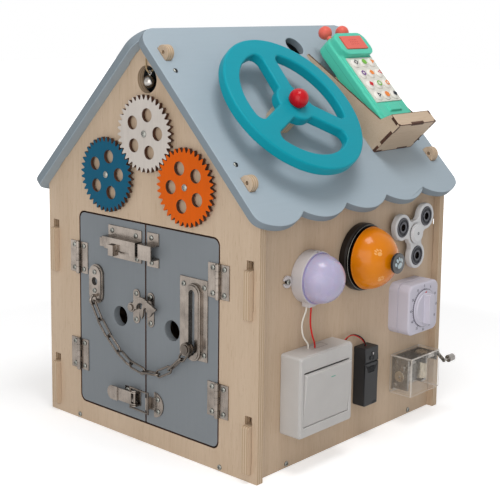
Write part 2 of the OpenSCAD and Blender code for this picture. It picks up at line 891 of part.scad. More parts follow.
module toggle_base() {
    color(steel) on_front() {
        difference() {
            translate([-32, toggle_z[0], 0]) cube([25, toggle_z[1] - toggle_z[0], plate_t]);
            screw_holes(toggle_base_screws, 1);
        }
        for (z = [toggle_z[0], toggle_z[1] - 1.5]) {
            translate([toggle_x - 3.6, z, 0]) cube([7.2, 1.5, toggle_off]);
            translate([toggle_x, z + 1.5, toggle_off]) rotate([90, 0, 0]) cylinder(r = 3.6, h = 1.5);
        }
        translate([toggle_x, toggle_z[1], toggle_off]) rotate([90, 0, 0])
            cylinder(r = 1.5, h = toggle_z[1] - toggle_z[0]);
    }
}

lever_z = [toggle_z[0] + 1.9, toggle_z[1] - 1.9];

module toggle_lever() {
    color(steel) on_front() difference() {
        union() {
            translate([0, 0, 7.4]) linear_extrude(1.3) {
                translate([-37, lever_z[0]]) square([22.5, lever_z[1] - lever_z[0]]);
            }
            translate([0, 0, 8.6]) linear_extrude(1.3) {
                translate([-44, toggle_mid - 8]) square([8, 16]);
                translate([-44, toggle_mid]) circle(8);
            }
            translate([-38, lever_z[0], 7.4]) cube([2, 14.2, 2.5]);
            for (z = [lever_z[0], lever_z[1] - lever_cheek]) {
                translate([bail_x[0] - 4, z, toggle_off - 1])
                    cube([toggle_x - bail_x[0] + 4, lever_cheek, 4.2]);
                translate([toggle_x, z + lever_cheek, toggle_off]) rotate([90, 0, 0])
                    cylinder(r = 3.2, h = lever_cheek);
            }
        }
        translate([toggle_x, 70, toggle_off]) rotate([90, 0, 0]) cylinder(r = 1.56, h = 50);
        translate([bail_x[0], 70, bail_off - bail_drop]) rotate([90, 0, 0])
            cylinder(r = bail_r + 0.07, h = 50);
    }
}

// wire of the bail along z, drawn downwards from its top end
module bail_wire(x, top, off, length) {
    translate([x, top, off]) rotate([90, 0, 0]) cylinder(r = bail_r, h = length);
}

module toggle_bail() {
    pivot = bail_off - bail_drop;
    run = bail_x[1] - bail_x[0];
    stub = lever_z[0] + lever_cheek - bail_z[0] + bail_r;
    color(steel) on_front() {
        for (z = bail_z) translate([bail_x[0], z, pivot]) rotate([0, 90 - atan2(bail_drop, run), 0])
            cylinder(r = bail_arm_r, h = norm([bail_drop, run]));
        bail_wire(bail_x[1], bail_z[1] + bail_r, bail_off, bail_z[1] - bail_z[0] + 2 * bail_r);
        bail_wire(bail_x[0], lever_z[0] + lever_cheek, pivot, stub);
        bail_wire(bail_x[0], bail_z[1] + bail_r, pivot, stub);
    }
}

module toggle_catch() {
    color(steel) on_front() difference() {
        union() {
            linear_extrude(plate_t) {
                translate([6.8, 41]) square([10, 14]);
                intersection() {
                    translate([14.4, 47.8]) circle(14);
                    translate([14.4, 30]) square([20, 40]);
                }
            }
            translate([6.8, 41, 0]) cube([2, 14, 7.2]);
        }
        screw_holes(catch_screws, 1);
    }
}

// ---------------------------------------------------------------- gears

// outline of a gear with one tooth centred on the given angle
module gear_outline(phase) {
    root_half = 2.6 / gear_root_r * 180 / PI;
    tip_half = 0.7 / gear_tip_r * 180 / PI;
    polygon([for (i = [0:gear_teeth - 1], k = [0:3]) let (
        a = phase + i * gear_step + [-root_half, -tip_half, tip_half, root_half][k],
        r = k == 0 || k == 3 ? gear_root_r : gear_tip_r) r * [cos(a), sin(a)]]);
}

module gear(at, phase, hole_phase) {
    on_front(gear_back) translate([at[0], at[1], 0]) linear_extrude(gear_t) difference() {
        gear_outline(phase);
        circle(gear_bore);
        for (i = [0:4]) rotate(hole_phase + 72 * i) translate([gear_hole_at, 0]) circle(gear_hole_r);
    }
}

// phase of a side gear that meshes with the top gear, for the side given by s
function mesh_phase(s) = let (
    line = atan2(gear_side_dz, s * gear_side_dx),
    lead = (line - gear_phase) - gear_step * floor((line - gear_phase) / gear_step))
    line + 180 + lead + gear_step / 2;

module gear_white() {
    color("#e4e0d8") gear(gear_white_at, gear_phase, 5);
}

module gear_blue() {
    color("#12627f") gear(gear_white_at + [-gear_side_dx, gear_side_dz], mesh_phase(-1), 5);
}

module gear_orange() {
    color("#dd6f1e") gear(gear_white_at + [gear_side_dx, gear_side_dz], mesh_phase(1), 41);
}

// ---------------------------------------------------------------- jingle bell

module jingle_bell() {
    skin = 0.9;
    ring_z = jingle_r + 2;
    color("#c9c9c4") translate([window_at[0], -gable_mid, jingle_z]) {
        difference() {
            sphere(r = jingle_r);
            sphere(r = jingle_r - skin);
            for (a = [45, 135]) rotate(a) translate([-4.6, -0.6, -jingle_r - 1]) cube([9.2, 1.2, 5]);
        }
        translate([0, 0, -3.6]) sphere(r = 1.9);
        translate([0, 0, jingle_r - 0.4]) cylinder(r = 1.2, h = 1);
        translate([0, 0, ring_z + 0.4]) rotate([90, 0, 0]) rotate_extrude() translate([2, 0])
            circle(0.6, $fn = 16);
    }
}

module bell_cord() {
    color("#cdb48a") cord(bell_cord_route, cord_r);
}

// ---------------------------------------------------------------- steering wheel

module wheel_axle() {
    back = 21 - 0.2;
    on_roof() translate([wheel_v, -wheel_u, 0]) {
        color(wood) difference() {
            cylinder(r = spacer_r, h = back);
            translate([0, 0, -1]) cylinder(r = axle_r + 0.1, h = back + 2);
        }
        color(steel) {
            translate([0, 0, -ply - 5]) cylinder(r = axle_r, h = ply + 5 + wheel_face + 3);
            translate([0, 0, -ply - 5]) cylinder(r = 7.4, h = 5, $fn = 6);
        }
    }
}

// gap between two spokes, with the first spoke's centre line along +x
module wheel_gap() {
    r_in = wheel_r - wheel_rim;
    hw = wheel_rim / 2;
    fo = 8;
    fi = 6;
    ao = asin((hw + fo) / (r_in - fo));
    ai = asin((hw + fi) / (wheel_hub_r + fi));
    co = (r_in - fo) * [cos(ao), sin(ao)];
    ci = (wheel_hub_r + fi) * [cos(ai), sin(ai)];
    do = (r_in - fo) * [cos(120 - ao), sin(120 - ao)];
    di = (wheel_hub_r + fi) * [cos(120 - ai), sin(120 - ai)];
    polygon(concat(
        arc(ci, fi, ai - 180, -90, 6), arc(co, fo, -90, ao, 10), arc([0, 0], r_in, ao + 3, 117 - ao, 20),
        arc(do, fo, 120 - ao, 210, 10), arc(di, fi, 210, 300 - ai, 6),
        arc([0, 0], wheel_hub_r, 117 - ai, ai + 3, 8)));
}

module steering_wheel() {
    color("#20a0b0") on_roof(wheel_face - wheel_t) translate([wheel_v, -wheel_u, 0])
        linear_extrude(wheel_t) difference() {
            circle(wheel_r, $fn = 128);
            for (i = [0:2]) rotate(wheel_phase + 120 * i) wheel_gap();
            circle(axle_r + 0.06);
        }
}

module wheel_knob() {
    color("#d7192d") on_roof(wheel_face) translate([wheel_v, -wheel_u, 0]) difference() {
        intersection() {
            translate([0, 0, 6]) sphere(r = 10.5);
            cylinder(r = 20, h = 20);
        }
        translate([0, 0, -1]) cylinder(r = axle_r + 0.3, h = 4.5);
    }
}

// ---------------------------------------------------------------- phone and its holder

// side of the holder, local x up the slope and local y off the roof
module holder_side() {
    foot = -holder_u[1];
    difference() {
        polygon([[-holder_u[0], 0], [foot, 0], [foot, holder_lip], [foot + holder_lip_depth, holder_lip],
            [foot + 22, 31], [-holder_u[0] - 2, 3], [-holder_u[0], 2.5]]);
        for (h = holder_tab_offs) translate([foot - eps, h]) square([holder_t + eps, holder_tab]);
        translate([foot + 5, holder_lip - holder_t]) square([6, holder_t + eps]);
        translate([foot + 50, holder_back_off]) square([20, holder_t]);
    }
}

module holder_panels() {
    wide = holder_v[1] - holder_v[0];
    inner = wide - 2 * holder_t;
    v0 = holder_v[0] + holder_t;
    foot = -holder_u[1];
    color(wood) on_roof() {
        for (v = [holder_v[0], holder_v[1] - holder_t]) translate([v + holder_t, 0, 0])
            rotate([0, -90, 0]) linear_extrude(holder_t) rotate(90) mirror([0, 1]) holder_side();
        translate([v0, foot, 0]) cube([inner, holder_t, holder_lip - holder_t]);
        for (h = holder_tab_offs) translate([holder_v[0], foot, h]) cube([wide, holder_t, holder_tab]);
        translate([v0, foot, holder_lip - holder_t]) cube([inner, holder_lip_depth, holder_t]);
        translate([holder_v[0], foot + 5, holder_lip - holder_t]) cube([wide, 6, holder_t]);
        translate([v0, foot + holder_t, holder_back_off]) cube([inner, 97, holder_t]);
        translate([holder_v[0], foot + 50, holder_back_off]) cube([wide, 20, holder_t]);
    }
}

// face of the phone: local x along the ridge, local y up the slope
module phone_outline(inset) {
    rounded([phone_v - phone_w / 2 + inset, -phone_u[1] + inset],
        [phone_v + phone_w / 2 - inset, -phone_u[0] - inset], 13 - inset);
}

module phone_shell() {
    color("#54c8af") on_roof() difference() {
        union() {
            translate([0, 0, phone_back]) linear_extrude(phone_face - phone_back - 3) phone_outline(0);
            translate([0, 0, phone_face - 3 - eps]) linear_extrude(3) phone_outline(3);
            translate([0, 0, phone_face - 3 - eps]) linear_extrude(phone_head - phone_face + 3)
                rounded([phone_v - phone_w / 2 + 1.5, -80],
                    [phone_v + phone_w / 2 - 1.5, -phone_u[0] - 1.5], 11);
            translate([phone_v - 11, -160, phone_face - 1]) cube([22, 10, 3.5]);
        }
        translate([0, 0, phone_back + 2.5]) linear_extrude(phone_face - phone_back - 5.5) phone_outline(5);
        translate([phone_v - 19.5, -72.5, phone_head - 1.5]) cube([39, 19, 5]);
        translate([phone_v - 24, -146, phone_face - 1.2]) cube([48, 65, 5]);
    }
}

module phone_screen_and_knobs() {
    color("#f58c73") on_roof() {
        translate([phone_v - 19.5, -72.5, phone_head - 1.5]) cube([39, 19, 2.5]);
        for (s = [-16, 16]) translate([phone_v + s, 0, 0]) {
            translate([0, -35, 26]) sphere(r = 8);
            translate([0, -phone_u[0], 26]) rotate([-90, 0, 0]) cylinder(r = 3.2, h = 6);
        }
    }
}

module phone_keypad() {
    color("#f3f2ee") on_roof() {
        translate([phone_v - 24, -146, phone_face - 1.2]) cube([48, 65, 2.2]);
        for (i = [0:2], j = [0:3]) translate([phone_v - 15.5 + 15.5 * i, -138 + 16.2 * j, phone_face])
            intersection() {
                translate([0, 0, -6]) sphere(r = 10);
                cylinder(r = 6.2, h = 5);
            }
    }
}

// ---------------------------------------------------------------- lamp, switch and batteries

module lamp_housing() {
    color("#f1f0f2") on_wall() translate([lamp_at[0], lamp_at[1], 0]) {
        difference() {
            union() {
                cylinder(r = lamp_r, h = lamp_h);
                for (s = [-1, 1]) translate([s * lamp_lug, 0, 0]) cylinder(r = 6.4, h = 3);
                translate([-13, -lamp_r - 1.4, 3]) cube([11, 6, 10]);
            }
            translate([0, 0, 2.5]) cylinder(r = lamp_dome_r - 2.4, h = lamp_h);
            translate([0, 0, lamp_h - lamp_seat]) cylinder(r = lamp_dome_r + 0.1, h = lamp_seat + 1);
            for (s = [-1, 1]) {
                translate([s * lamp_lug, 0, -1]) cylinder(r = pilot_r, h = 5);
                translate([s * (lamp_lug + 4), 0, 2]) cube([8, 2 * pilot_r, 6], center = true);
            }
            translate([-3, lamp_r - 3, lamp_h - 4]) cube([6, 4, 5]);
        }
        translate([0, 0, 2.5]) cylinder(r = 12, h = 2);
        translate([0, 0, 4.4]) cylinder(r = 2.5, h = 5);
    }
}

module lamp_dome() {
    skin = 1.6;
    color("#dcd6ea") on_wall() translate([lamp_at[0], lamp_at[1], lamp_dome_off]) difference() {
        sphere(r = lamp_dome_r, $fn = 96);
        sphere(r = lamp_dome_r - skin, $fn = 96);
        translate([-50, -50, lamp_h - lamp_seat - lamp_dome_off - 100]) cube(100);
    }
}

module lamp_lead_red() {
    color("#c8201c") cord(lead_red_route, lead_r);
}

module lamp_lead_white() {
    color("#e8e6e0") cord(lead_white_route, lead_r);
}

module battery_lead() {
    color("#b3241f") cord(battery_lead_route, battery_lead_r);
}

module switch_box() {
    y = switch_y;
    z = switch_z;
    wall = 2.4;
    ry = rocker_w / 2;
    rz = rocker_h / 2 + 1;
    color("#f2f1ee") on_wall() difference() {
        union() {
            linear_extrude(switch_depth - 2) rounded([y[0], z[0]], [y[1], z[1]], 3);
            translate([0, 0, switch_depth - 2 - eps]) linear_extrude(2)
                rounded([y[0] + 1, z[0] + 1], [y[1] - 1, z[1] - 1], 3);
        }
        difference() {
            translate([y[0] + wall, z[0] + wall, wall])
                cube([y[1] - y[0] - 2 * wall, z[1] - z[0] - 2 * wall, switch_depth - 2 * wall - 0.6]);
            translate([rocker_at[0] - ry - 2.4, rocker_at[1] - rz - 2, rocker_off - 5])
                cube([2 * ry + 4.8, 2 * rz + 4, 20]);
        }
        translate([rocker_at[0] - ry - 0.4, rocker_at[1] - rz, wall])
            cube([2 * ry + 0.8, 2 * rz, switch_depth]);
        translate([rocker_at[0] - ry - 1.6, rocker_at[1], rocker_off]) rotate([0, 90, 0])
            cylinder(r = 2.06, h = 2 * ry + 3.2);
    }
}

module switch_rocker() {
    ry = rocker_w / 2;
    rz = rocker_h / 2;
    color("#f7f6f3") on_wall() translate([rocker_at[0], rocker_at[1], rocker_off]) {
        rotate([rocker_tilt, 0, 0]) difference() {
            union() {
                translate([-ry, -rz, 3]) cube([2 * ry, 2 * rz, 5.4]);
                translate([-ry, -3, -1]) cube([2 * ry, 6, 5]);
            }
            translate([-ry + 2, 3.4, 2]) cube([2 * ry - 4, rz - 5.4, 4]);
            translate([-ry + 2, -rz + 2, 2]) cube([2 * ry - 4, rz - 5.4, 4]);
        }
        translate([-ry - 1.4, 0, 0]) rotate([0, 90, 0]) cylinder(r = 2, h = 2 * ry + 2.8);
    }
}

module battery_box() {
    y = battery_y;
    z = battery_z;
    mid = (y[0] + y[1]) / 2;
    color("#3b3d40") on_wall() {
        difference() {
            linear_extrude(battery_depth) rounded([y[0], z[0]], [y[1], z[1]], 1.5);
            translate([y[0] + 1.4, z[0] + 1.4, 1.4]) cube([y[1] - y[0] - 2.8, 47, battery_depth - 2.8]);
            translate([y[0] - 1, 88.4, battery_depth - 0.8]) cube([40, 0.8, 2]);
            translate([mid - 4, 92, battery_depth - 1.2]) cube([8, 4, 3]);
            for (i = [0:3]) translate([mid - 5, 78 + 1.8 * i, battery_depth - 0.5]) cube([10, 0.8, 2]);
        }
        translate([mid - 3.6, 92.3, battery_depth - 1.2]) cube([3.4, 3.4, 2.4]);
    }
    color("#c9a13c") on_wall() for (s = [-1, 1])
        translate([mid + s * 5.2, z[0] + 2.4, battery_depth / 2]) rotate([-90, 0, 0]) cylinder(r = 5, h = 44.5);
}

// ---------------------------------------------------------------- desk bell

module bell_base() {
    color("#3e3c3b") on_wall() translate([bell_at[0], bell_at[1], 0]) difference() {
        union() {
            cylinder(r = bell_base_r, h = bell_base_h - 3);
            translate([0, 0, bell_base_h - 3 - eps]) cylinder(r = bell_base_r - 1.5, h = 3);
            cylinder(r = 4.5, h = bell_top + 0.5);
            translate([14, -2.5, bell_base_h - 1]) cube([8, 5, 11]);
        }
        translate([0, 0, 9]) cylinder(r = 2.08, h = 60);
    }
}

module bell_dome() {
    skin = 1.2;
    color("#f09a14") on_wall() translate([bell_at[0], bell_at[1], 0]) difference() {
        translate([0, 0, bell_top - bell_ball]) sphere(r = bell_ball, $fn = 96);
        translate([0, 0, bell_top - bell_ball]) sphere(r = bell_ball - skin, $fn = 96);
        translate([-60, -60, bell_rim - 120]) cube([120, 120, 120]);
        translate([0, 0, bell_top - 8]) cylinder(r = 4.5, h = 20);
    }
}

module bell_button() {
    color("#1d1d1f") on_wall() translate([bell_at[0], bell_at[1], 0]) {
        translate([0, 0, 13]) cylinder(r = 2, h = 37);
        translate([0, 0, 49]) cylinder(r = 11, h = 3);
        intersection() {
            translate([0, 0, 53.2 - 26]) sphere(r = 26);
            translate([0, 0, 51.9]) cylinder(r = 9.8, h = 3);
        }
    }
}

// ---------------------------------------------------------------- spinner

module on_arms() {
    for (i = [0:2]) rotate(spinner_phase + 120 * i) translate([spinner_arm, 0, 0]) children();
}

module spinner_body() {
    color("#f4f4f2") on_wall(spinner_off) translate([spinner_at[0], spinner_at[1], 0])
        linear_extrude(spinner_t) difference() {
            union() {
                circle(spinner_lobe);
                on_arms() circle(spinner_lobe);
                for (i = [0:2]) rotate(spinner_phase + 120 * i) translate([0, -10.5]) square([spinner_arm, 21]);
            }
            circle(bearing_d / 2);
            on_arms() circle(bearing_d / 2);
        }
}

// ball bearing with recessed shields
module ball_bearing(bore) {
    r = bearing_d / 2 - 0.03;
    rotate_extrude() polygon([[bore, 0], [6.2, 0], [6.2, 0.5], [8.9, 0.5], [8.9, 0], [r, 0],
        [r, spinner_t], [8.9, spinner_t], [8.9, spinner_t - 0.5], [6.2, spinner_t - 0.5],
        [6.2, spinner_t], [bore, spinner_t]]);
}

module spinner_bearings() {
    color("#8d8f92") on_wall(spinner_off) translate([spinner_at[0], spinner_at[1], 0]) {
        ball_bearing(4);
        on_arms() ball_bearing(4);
    }
}

module spinner_hub() {
    color("#ececea") on_wall() translate([spinner_at[0], spinner_at[1], 0]) {
        cylinder(r = 5.8, h = spinner_off - 0.3);
        cylinder(r = 3.94, h = spinner_off + spinner_t + 1);
        translate([0, 0, spinner_off + spinner_t + 0.4]) cylinder(r = 11.6, h = 2);
        translate([0, 0, spinner_off + spinner_t + 2.3]) cylinder(r = 9.6, h = 1.4);
    }
}

// ---------------------------------------------------------------- timer

module timer_case() {
    h = timer_w / 2;
    color("#f3f3f1") on_wall() translate([timer_at[0], timer_at[1], 0]) {
        difference() {
            union() {
                linear_extrude(12) rounded([-h, -h], [h, h], timer_corner);
                translate([0, 0, 12 - eps]) linear_extrude(0.9)
                    rounded([0.7 - h, 0.7 - h], [h - 0.7, h - 0.7], timer_corner);
                translate([0, 0, 12.8]) linear_extrude(timer_depth - 14.3)
                    rounded([-h, -h], [h, h], timer_corner);
                translate([0, 0, timer_depth - 1.6]) linear_extrude(1.6)
                    rounded([1.5 - h, 1.5 - h], [h - 1.5, h - 1.5], timer_corner - 1);
            }
            translate([0, 0, 2]) linear_extrude(timer_depth - 5)
                rounded([2.2 - h, 2.2 - h], [h - 2.2, h - 2.2], 7);
            translate([0, 0, 10]) cylinder(r = 3.06, h = 40);
        }
        difference() {
            translate([0, 0, 2]) cylinder(r = 19, h = 12);
            translate([0, 0, 10]) cylinder(r = 3.06, h = 40);
        }
    }
}

module timer_knob() {
    color("#f7f7f5") on_wall() translate([timer_at[0], timer_at[1], 0]) {
        translate([0, 0, 11]) cylinder(r = 3, h = timer_depth - 8);
        translate([0, 0, timer_depth + 0.3]) cylinder(r = timer_dial_r, h = 1.8);
        translate([0, 0, timer_depth + 2]) cylinder(r = 17.5, h = 1.5);
        intersection() {
            translate([-4.5, -17.2, timer_depth + 2]) cube([9, 34.4, 9]);
            translate([0, 0, timer_depth + 2]) cylinder(r = 17.2, h = 9);
        }
    }
}

// ---------------------------------------------------------------- music box

// local frame with x along +Y, y along +Z and z off the wall; the crank's shaft runs along x
module on_crank() {
    on_wall() translate([0, crank_z, crank_off]) rotate([0, 90, 0]) children();
}

module music_cover() {
    w = music_wall;
    color([0.85, 0.9, 0.92, 0.4]) difference() {
        on_wall() translate([music_y[0], music_z[0], 0])
            cube([music_y[1] - music_y[0], music_z[1] - music_z[0], music_depth]);
        on_wall() translate([music_y[0] + w, music_z[0] + w, -1])
            cube([music_y[1] - music_y[0] - 2 * w, music_z[1] - music_z[0] - 2 * w, music_depth - w + 1]);
        on_crank() translate([0, 0, 120]) cylinder(r = 2, h = 20);
    }
}

module music_movement() {
    teeth = 18;
    tooth = (drum_z[1] - drum_z[0] - 1) / teeth;
    comb_z = drum_z[0] + 0.5;
    color("#7d7b78") difference() {
        on_wall() {
            translate([78, 39, 0]) cube([50.5, 39, 2.5]);
            translate([78, 41, 0]) cube([3, 36, 22]);
            translate([83, 45, 0]) cube([13, 23, 12.3]);
            for (z = [42.5, 68.5]) translate([114, z, 0]) cube([10, 2.5, 17]);
            translate([106, 68.5, 0]) cube([2.5, 9.8, 27.5]);
            translate([127, 68.5, 0]) cube([2, 9.8, 27.5]);
            translate([90, comb_z, 12.2]) cube([7, teeth * tooth, 1.5]);
            for (i = [0:teeth - 1])
                translate([96, comb_z + i * tooth + 0.15, 12.2])
                    cube([drum_at[0] - drum_r - 96.4, tooth - 0.3, 0.9]);
            for (z = [50, 56.5, 63]) translate([92.5, z, 13.6]) cylinder(r = 1.9, h = 1);
        }
        on_wall() translate([drum_at[0], 100, drum_at[1]]) rotate([90, 0, 0]) cylinder(r = 1.07, h = 80);
        on_crank() translate([0, 0, 100]) cylinder(r = 1.27, h = 40);
    }
}

module music_cylinder() {
    color("#cfc9bb") on_wall() translate([drum_at[0], 0, drum_at[1]]) rotate([-90, 0, 0]) {
        translate([0, 0, drum_z[0]]) cylinder(r = drum_r, h = drum_z[1] - drum_z[0]);
        translate([0, 0, 41]) cylinder(r = 1, h = crank_z + 2 - 41);
        translate([0, 0, crank_z - 2]) linear_extrude(4) difference() {
            circle(worm_wheel_r);
            for (i = [0:23]) rotate(15 * i + 7.5) translate([worm_wheel_r, 0]) circle(0.55, $fn = 16);
        }
    }
}

module music_crank() {
    color(steel) on_crank() {
        translate([0, 0, 105]) cylinder(r = 1.2, h = 29);
        translate([0, 0, 112]) rotate_extrude() polygon(concat([[0, 0], [2.4, 0]],
            [for (i = [0:5], k = [0:1]) [k == 0 ? 2.4 : 3.3, 0.6 + 2 * i + k]], [[2.4, 13], [0, 13]]));
        rotate(crank_phase) {
            translate([0, 0, 133]) linear_extrude(2) {
                translate([0, -2]) square([crank_arm, 4]);
                circle(2.6);
                translate([crank_arm, 0]) circle(2.2);
            }
            translate([crank_arm, 0, 134]) cylinder(r = 1.4, h = 10);
            translate([crank_arm, 0, 142]) cylinder(r = 3.6, h = 11);
            translate([crank_arm, 0, 143]) cylinder(r = 4.3, h = 9);
        }
    }
}

// ---------------------------------------------------------------- drawing

front_panel();
back_panel();
left_wall();
right_wall();
floor_panel();
roof_left();
roof_right();
screws();
frame_hinges();
left_door();
left_hinge_leaves();
left_door_screws();
bolt_case();
chain_anchor();
hook_plate_left();
toggle_base();
bolt_bar();
hook_arm();
toggle_lever();
toggle_bail();
door_chain();
right_door();
right_hinge_leaves();
right_door_screws();
bolt_keeper();
hook_plate_right();
toggle_catch();
chain_track();
gear_blue();
gear_white();
gear_orange();
jingle_bell();
bell_cord();
wheel_axle();
steering_wheel();
wheel_knob();
holder_panels();
phone_shell();
phone_screen_and_knobs();
phone_keypad();
lamp_housing();
lamp_dome();
lamp_lead_red();
lamp_lead_white();
battery_lead();
switch_box();
switch_rocker();
battery_box();
bell_base();
bell_dome();
bell_button();
spinner_body();
spinner_bearings();
spinner_hub();
timer_case();
timer_knob();
music_cover();
music_movement();
music_cylinder();
music_crank();
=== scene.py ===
import json
import math
import random

import bpy
from mathutils import Matrix, Vector


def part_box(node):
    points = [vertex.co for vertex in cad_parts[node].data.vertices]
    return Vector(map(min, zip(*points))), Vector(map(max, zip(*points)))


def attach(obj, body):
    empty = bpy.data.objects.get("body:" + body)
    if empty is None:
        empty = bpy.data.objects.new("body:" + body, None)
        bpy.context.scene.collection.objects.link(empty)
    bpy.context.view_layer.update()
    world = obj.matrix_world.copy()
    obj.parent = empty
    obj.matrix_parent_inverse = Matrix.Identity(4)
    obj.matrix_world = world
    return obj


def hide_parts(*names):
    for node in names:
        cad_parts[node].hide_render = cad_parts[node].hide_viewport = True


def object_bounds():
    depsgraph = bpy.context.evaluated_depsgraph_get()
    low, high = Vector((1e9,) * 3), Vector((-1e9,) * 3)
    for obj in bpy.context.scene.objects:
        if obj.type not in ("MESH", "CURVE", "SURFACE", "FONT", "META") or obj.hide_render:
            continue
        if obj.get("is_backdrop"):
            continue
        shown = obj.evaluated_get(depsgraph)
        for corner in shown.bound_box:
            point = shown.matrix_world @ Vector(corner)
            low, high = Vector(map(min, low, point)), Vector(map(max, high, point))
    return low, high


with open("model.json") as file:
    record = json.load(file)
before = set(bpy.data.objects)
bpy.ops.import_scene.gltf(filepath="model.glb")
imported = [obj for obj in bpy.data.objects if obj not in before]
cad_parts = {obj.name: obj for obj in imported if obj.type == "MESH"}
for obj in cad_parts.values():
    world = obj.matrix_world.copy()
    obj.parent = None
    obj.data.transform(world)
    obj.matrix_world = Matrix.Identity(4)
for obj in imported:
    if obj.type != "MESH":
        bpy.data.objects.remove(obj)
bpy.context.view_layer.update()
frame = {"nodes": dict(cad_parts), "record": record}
nodes = frame["nodes"]
bodyOf = {node: body for body, members in frame["record"]["behaviour"]["bodies"].items() for node in members}

mm = 0.001
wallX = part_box("right_wall")[1].x  # outer face of the right wall
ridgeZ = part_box("roof_right")[1].z
roofPitch = math.radians(46)
upSlope = Vector((-math.cos(roofPitch), 0, math.sin(roofPitch)))
offRoof = Vector((math.sin(roofPitch), 0, math.cos(roofPitch)))


def frameAt(xAxis, yAxis, zAxis, origin):
    turned = Matrix((xAxis, yAxis, zAxis)).transposed().to_4x4()
    return Matrix.Translation(origin) @ turned


# local x and y lie in the face, local z points out of it
onWall = frameAt((0, 1, 0), (0, 0, 1), (1, 0, 0), (wallX, 0, 0))
onRoof = frameAt((0, 1, 0), upSlope, offRoof, (0, 0, ridgeZ))


# camera, at the height of a person sitting by the house

camera = {
    "lens": 83.31, "sensor": 36,
    "place": (0.8875, -0.9833, 0.4833),
    "azimuth": math.radians(42.006),
    "elevation": math.radians(8.918),
    "roll": math.radians(0.703),
    "shiftY": -0.144,
    "clip": (0.05, 60),
}


def setCamera():
    a, e, r = camera["azimuth"], camera["elevation"], camera["roll"]
    back = Vector((math.sin(a) * math.cos(e), -math.cos(a) * math.cos(e), math.sin(e)))
    level = Vector((math.cos(a), math.sin(a), 0))
    above = back.cross(level)
    right = level * math.cos(r) + above * math.sin(r)
    up = above * math.cos(r) - level * math.sin(r)
    bpy.ops.object.camera_add()
    eye = bpy.context.object
    eye.data.lens = camera["lens"]
    eye.data.sensor_width = camera["sensor"]
    eye.data.shift_y = camera["shiftY"]
    eye.data.clip_start, eye.data.clip_end = camera["clip"]
    eye.matrix_world = frameAt(right, up, back, camera["place"])
    bpy.context.scene.camera = eye


setCamera()
print("camera set")


# shader maths: a Val is a socket that adds its own Math nodes


class Val:
    def __init__(self, shading, socket):
        self.shading = shading
        self.socket = socket

    def __add__(self, other):
        return self.shading.maths("ADD", self, other)

    def __sub__(self, other):
        return self.shading.maths("SUBTRACT", self, other)

    def __rsub__(self, other):
        return self.shading.maths("SUBTRACT", other, self)

    def __mul__(self, other):
        return self.shading.maths("MULTIPLY", self, other)

    def __truediv__(self, other):
        return self.shading.maths("DIVIDE", self, other)

    def __rtruediv__(self, other):
        return self.shading.maths("DIVIDE", other, self)

    def __gt__(self, other):
        return self.shading.maths("GREATER_THAN", self, other)

    def __lt__(self, other):
        return self.shading.maths("LESS_THAN", self, other)

    def __abs__(self):
        return self.shading.maths("ABSOLUTE", self)

    __radd__ = __add__
    __rmul__ = __mul__


class Shading:
    def __init__(self, tree):
        self.tree = tree

    def add(self, kind, settings=None, inputs=None, output=0):
        made = self.tree.nodes.new(kind)
        for key, value in (settings or {}).items():
            if key == "stops":
                self.setStops(made.color_ramp, value)
            else:
                setattr(made, key, value)
        for key, value in (inputs or {}).items():
            self.feed(made.inputs[key], value)
        return Val(self, made.outputs[output])

    def setStops(self, ramp, stops):
        while len(ramp.elements) < len(stops):
            ramp.elements.new(0.5)
        for element, (place, shade) in zip(ramp.elements, stops):
            element.position = place
            element.color = shade

    def feed(self, socket, value):
        if isinstance(value, Val):
            self.tree.links.new(value.socket, socket)
        else:
            socket.default_value = value

    def maths(self, operation, *values):
        return self.add("ShaderNodeMath", {"operation": operation}, dict(enumerate(values)))

    def limit(self, value):
        return self.add("ShaderNodeClamp", None, {"Value": value})

    def blend(self, share, first, second):
        return self.add("ShaderNodeMix", {"data_type": "RGBA"}, {0: share, 6: first, 7: second}, 2)

    def ramp(self, share, *stops):
        return self.add("ShaderNodeValToRGB", {"stops": stops}, {"Fac": share})

    def point(self, stretch=(1, 1, 1)):
        where = self.add("ShaderNodeTexCoord", None, None, "Object")
        return self.add("ShaderNodeMapping", None, {"Vector": where, "Scale": stretch})

    def parts(self, vector):
        split = self.add("ShaderNodeSeparateXYZ", None, {"Vector": vector}).socket.node
        return [Val(self, out) for out in split.outputs]

    def normal(self):
        return self.parts(self.add("ShaderNodeTexCoord", None, None, "Normal"))

    def noise(self, scale, detail=3, stretch=(1, 1, 1), rough=0.55, twist=0):
        fields = {"Vector": self.point(stretch), "Scale": scale, "Detail": detail}
        return self.add("ShaderNodeTexNoise", None, {**fields, "Roughness": rough, "Distortion": twist})


class Finish(Shading):
    def __init__(self, name, **constants):
        self.material = bpy.data.materials.new(name)
        self.material.use_nodes = True
        Shading.__init__(self, self.material.node_tree)
        self.shader = self.tree.nodes["Principled BSDF"]
        for socket, value in constants.items():
            self.shader.inputs[socket.replace("_", " ")].default_value = value

    def bump(self, height, strength, depth):
        bumped = self.add("ShaderNodeBump", None, {"Height": height, "Strength": strength, "Distance": depth})
        self.feed(self.shader.inputs["Normal"], bumped)

    def colour(self, value):
        self.feed(self.shader.inputs["Base Color"], value)

    def rough(self, value):
        self.feed(self.shader.inputs["Roughness"], value)


def tint(r, g, b):
    return tuple(((c / 255 + 0.055) / 1.055) ** 2.4 for c in (r, g, b)) + (1,)


def shaded(colour, factor):
    return tuple(c * factor for c in colour[:3]) + (1,)


axes = {"x": 0, "y": 1, "z": 2}


def drawnOut(axis, squeeze):  # scales that stretch a noise along one axis
    stretch = [1, 1, 1]
    stretch[axes[axis]] = squeeze
    return stretch


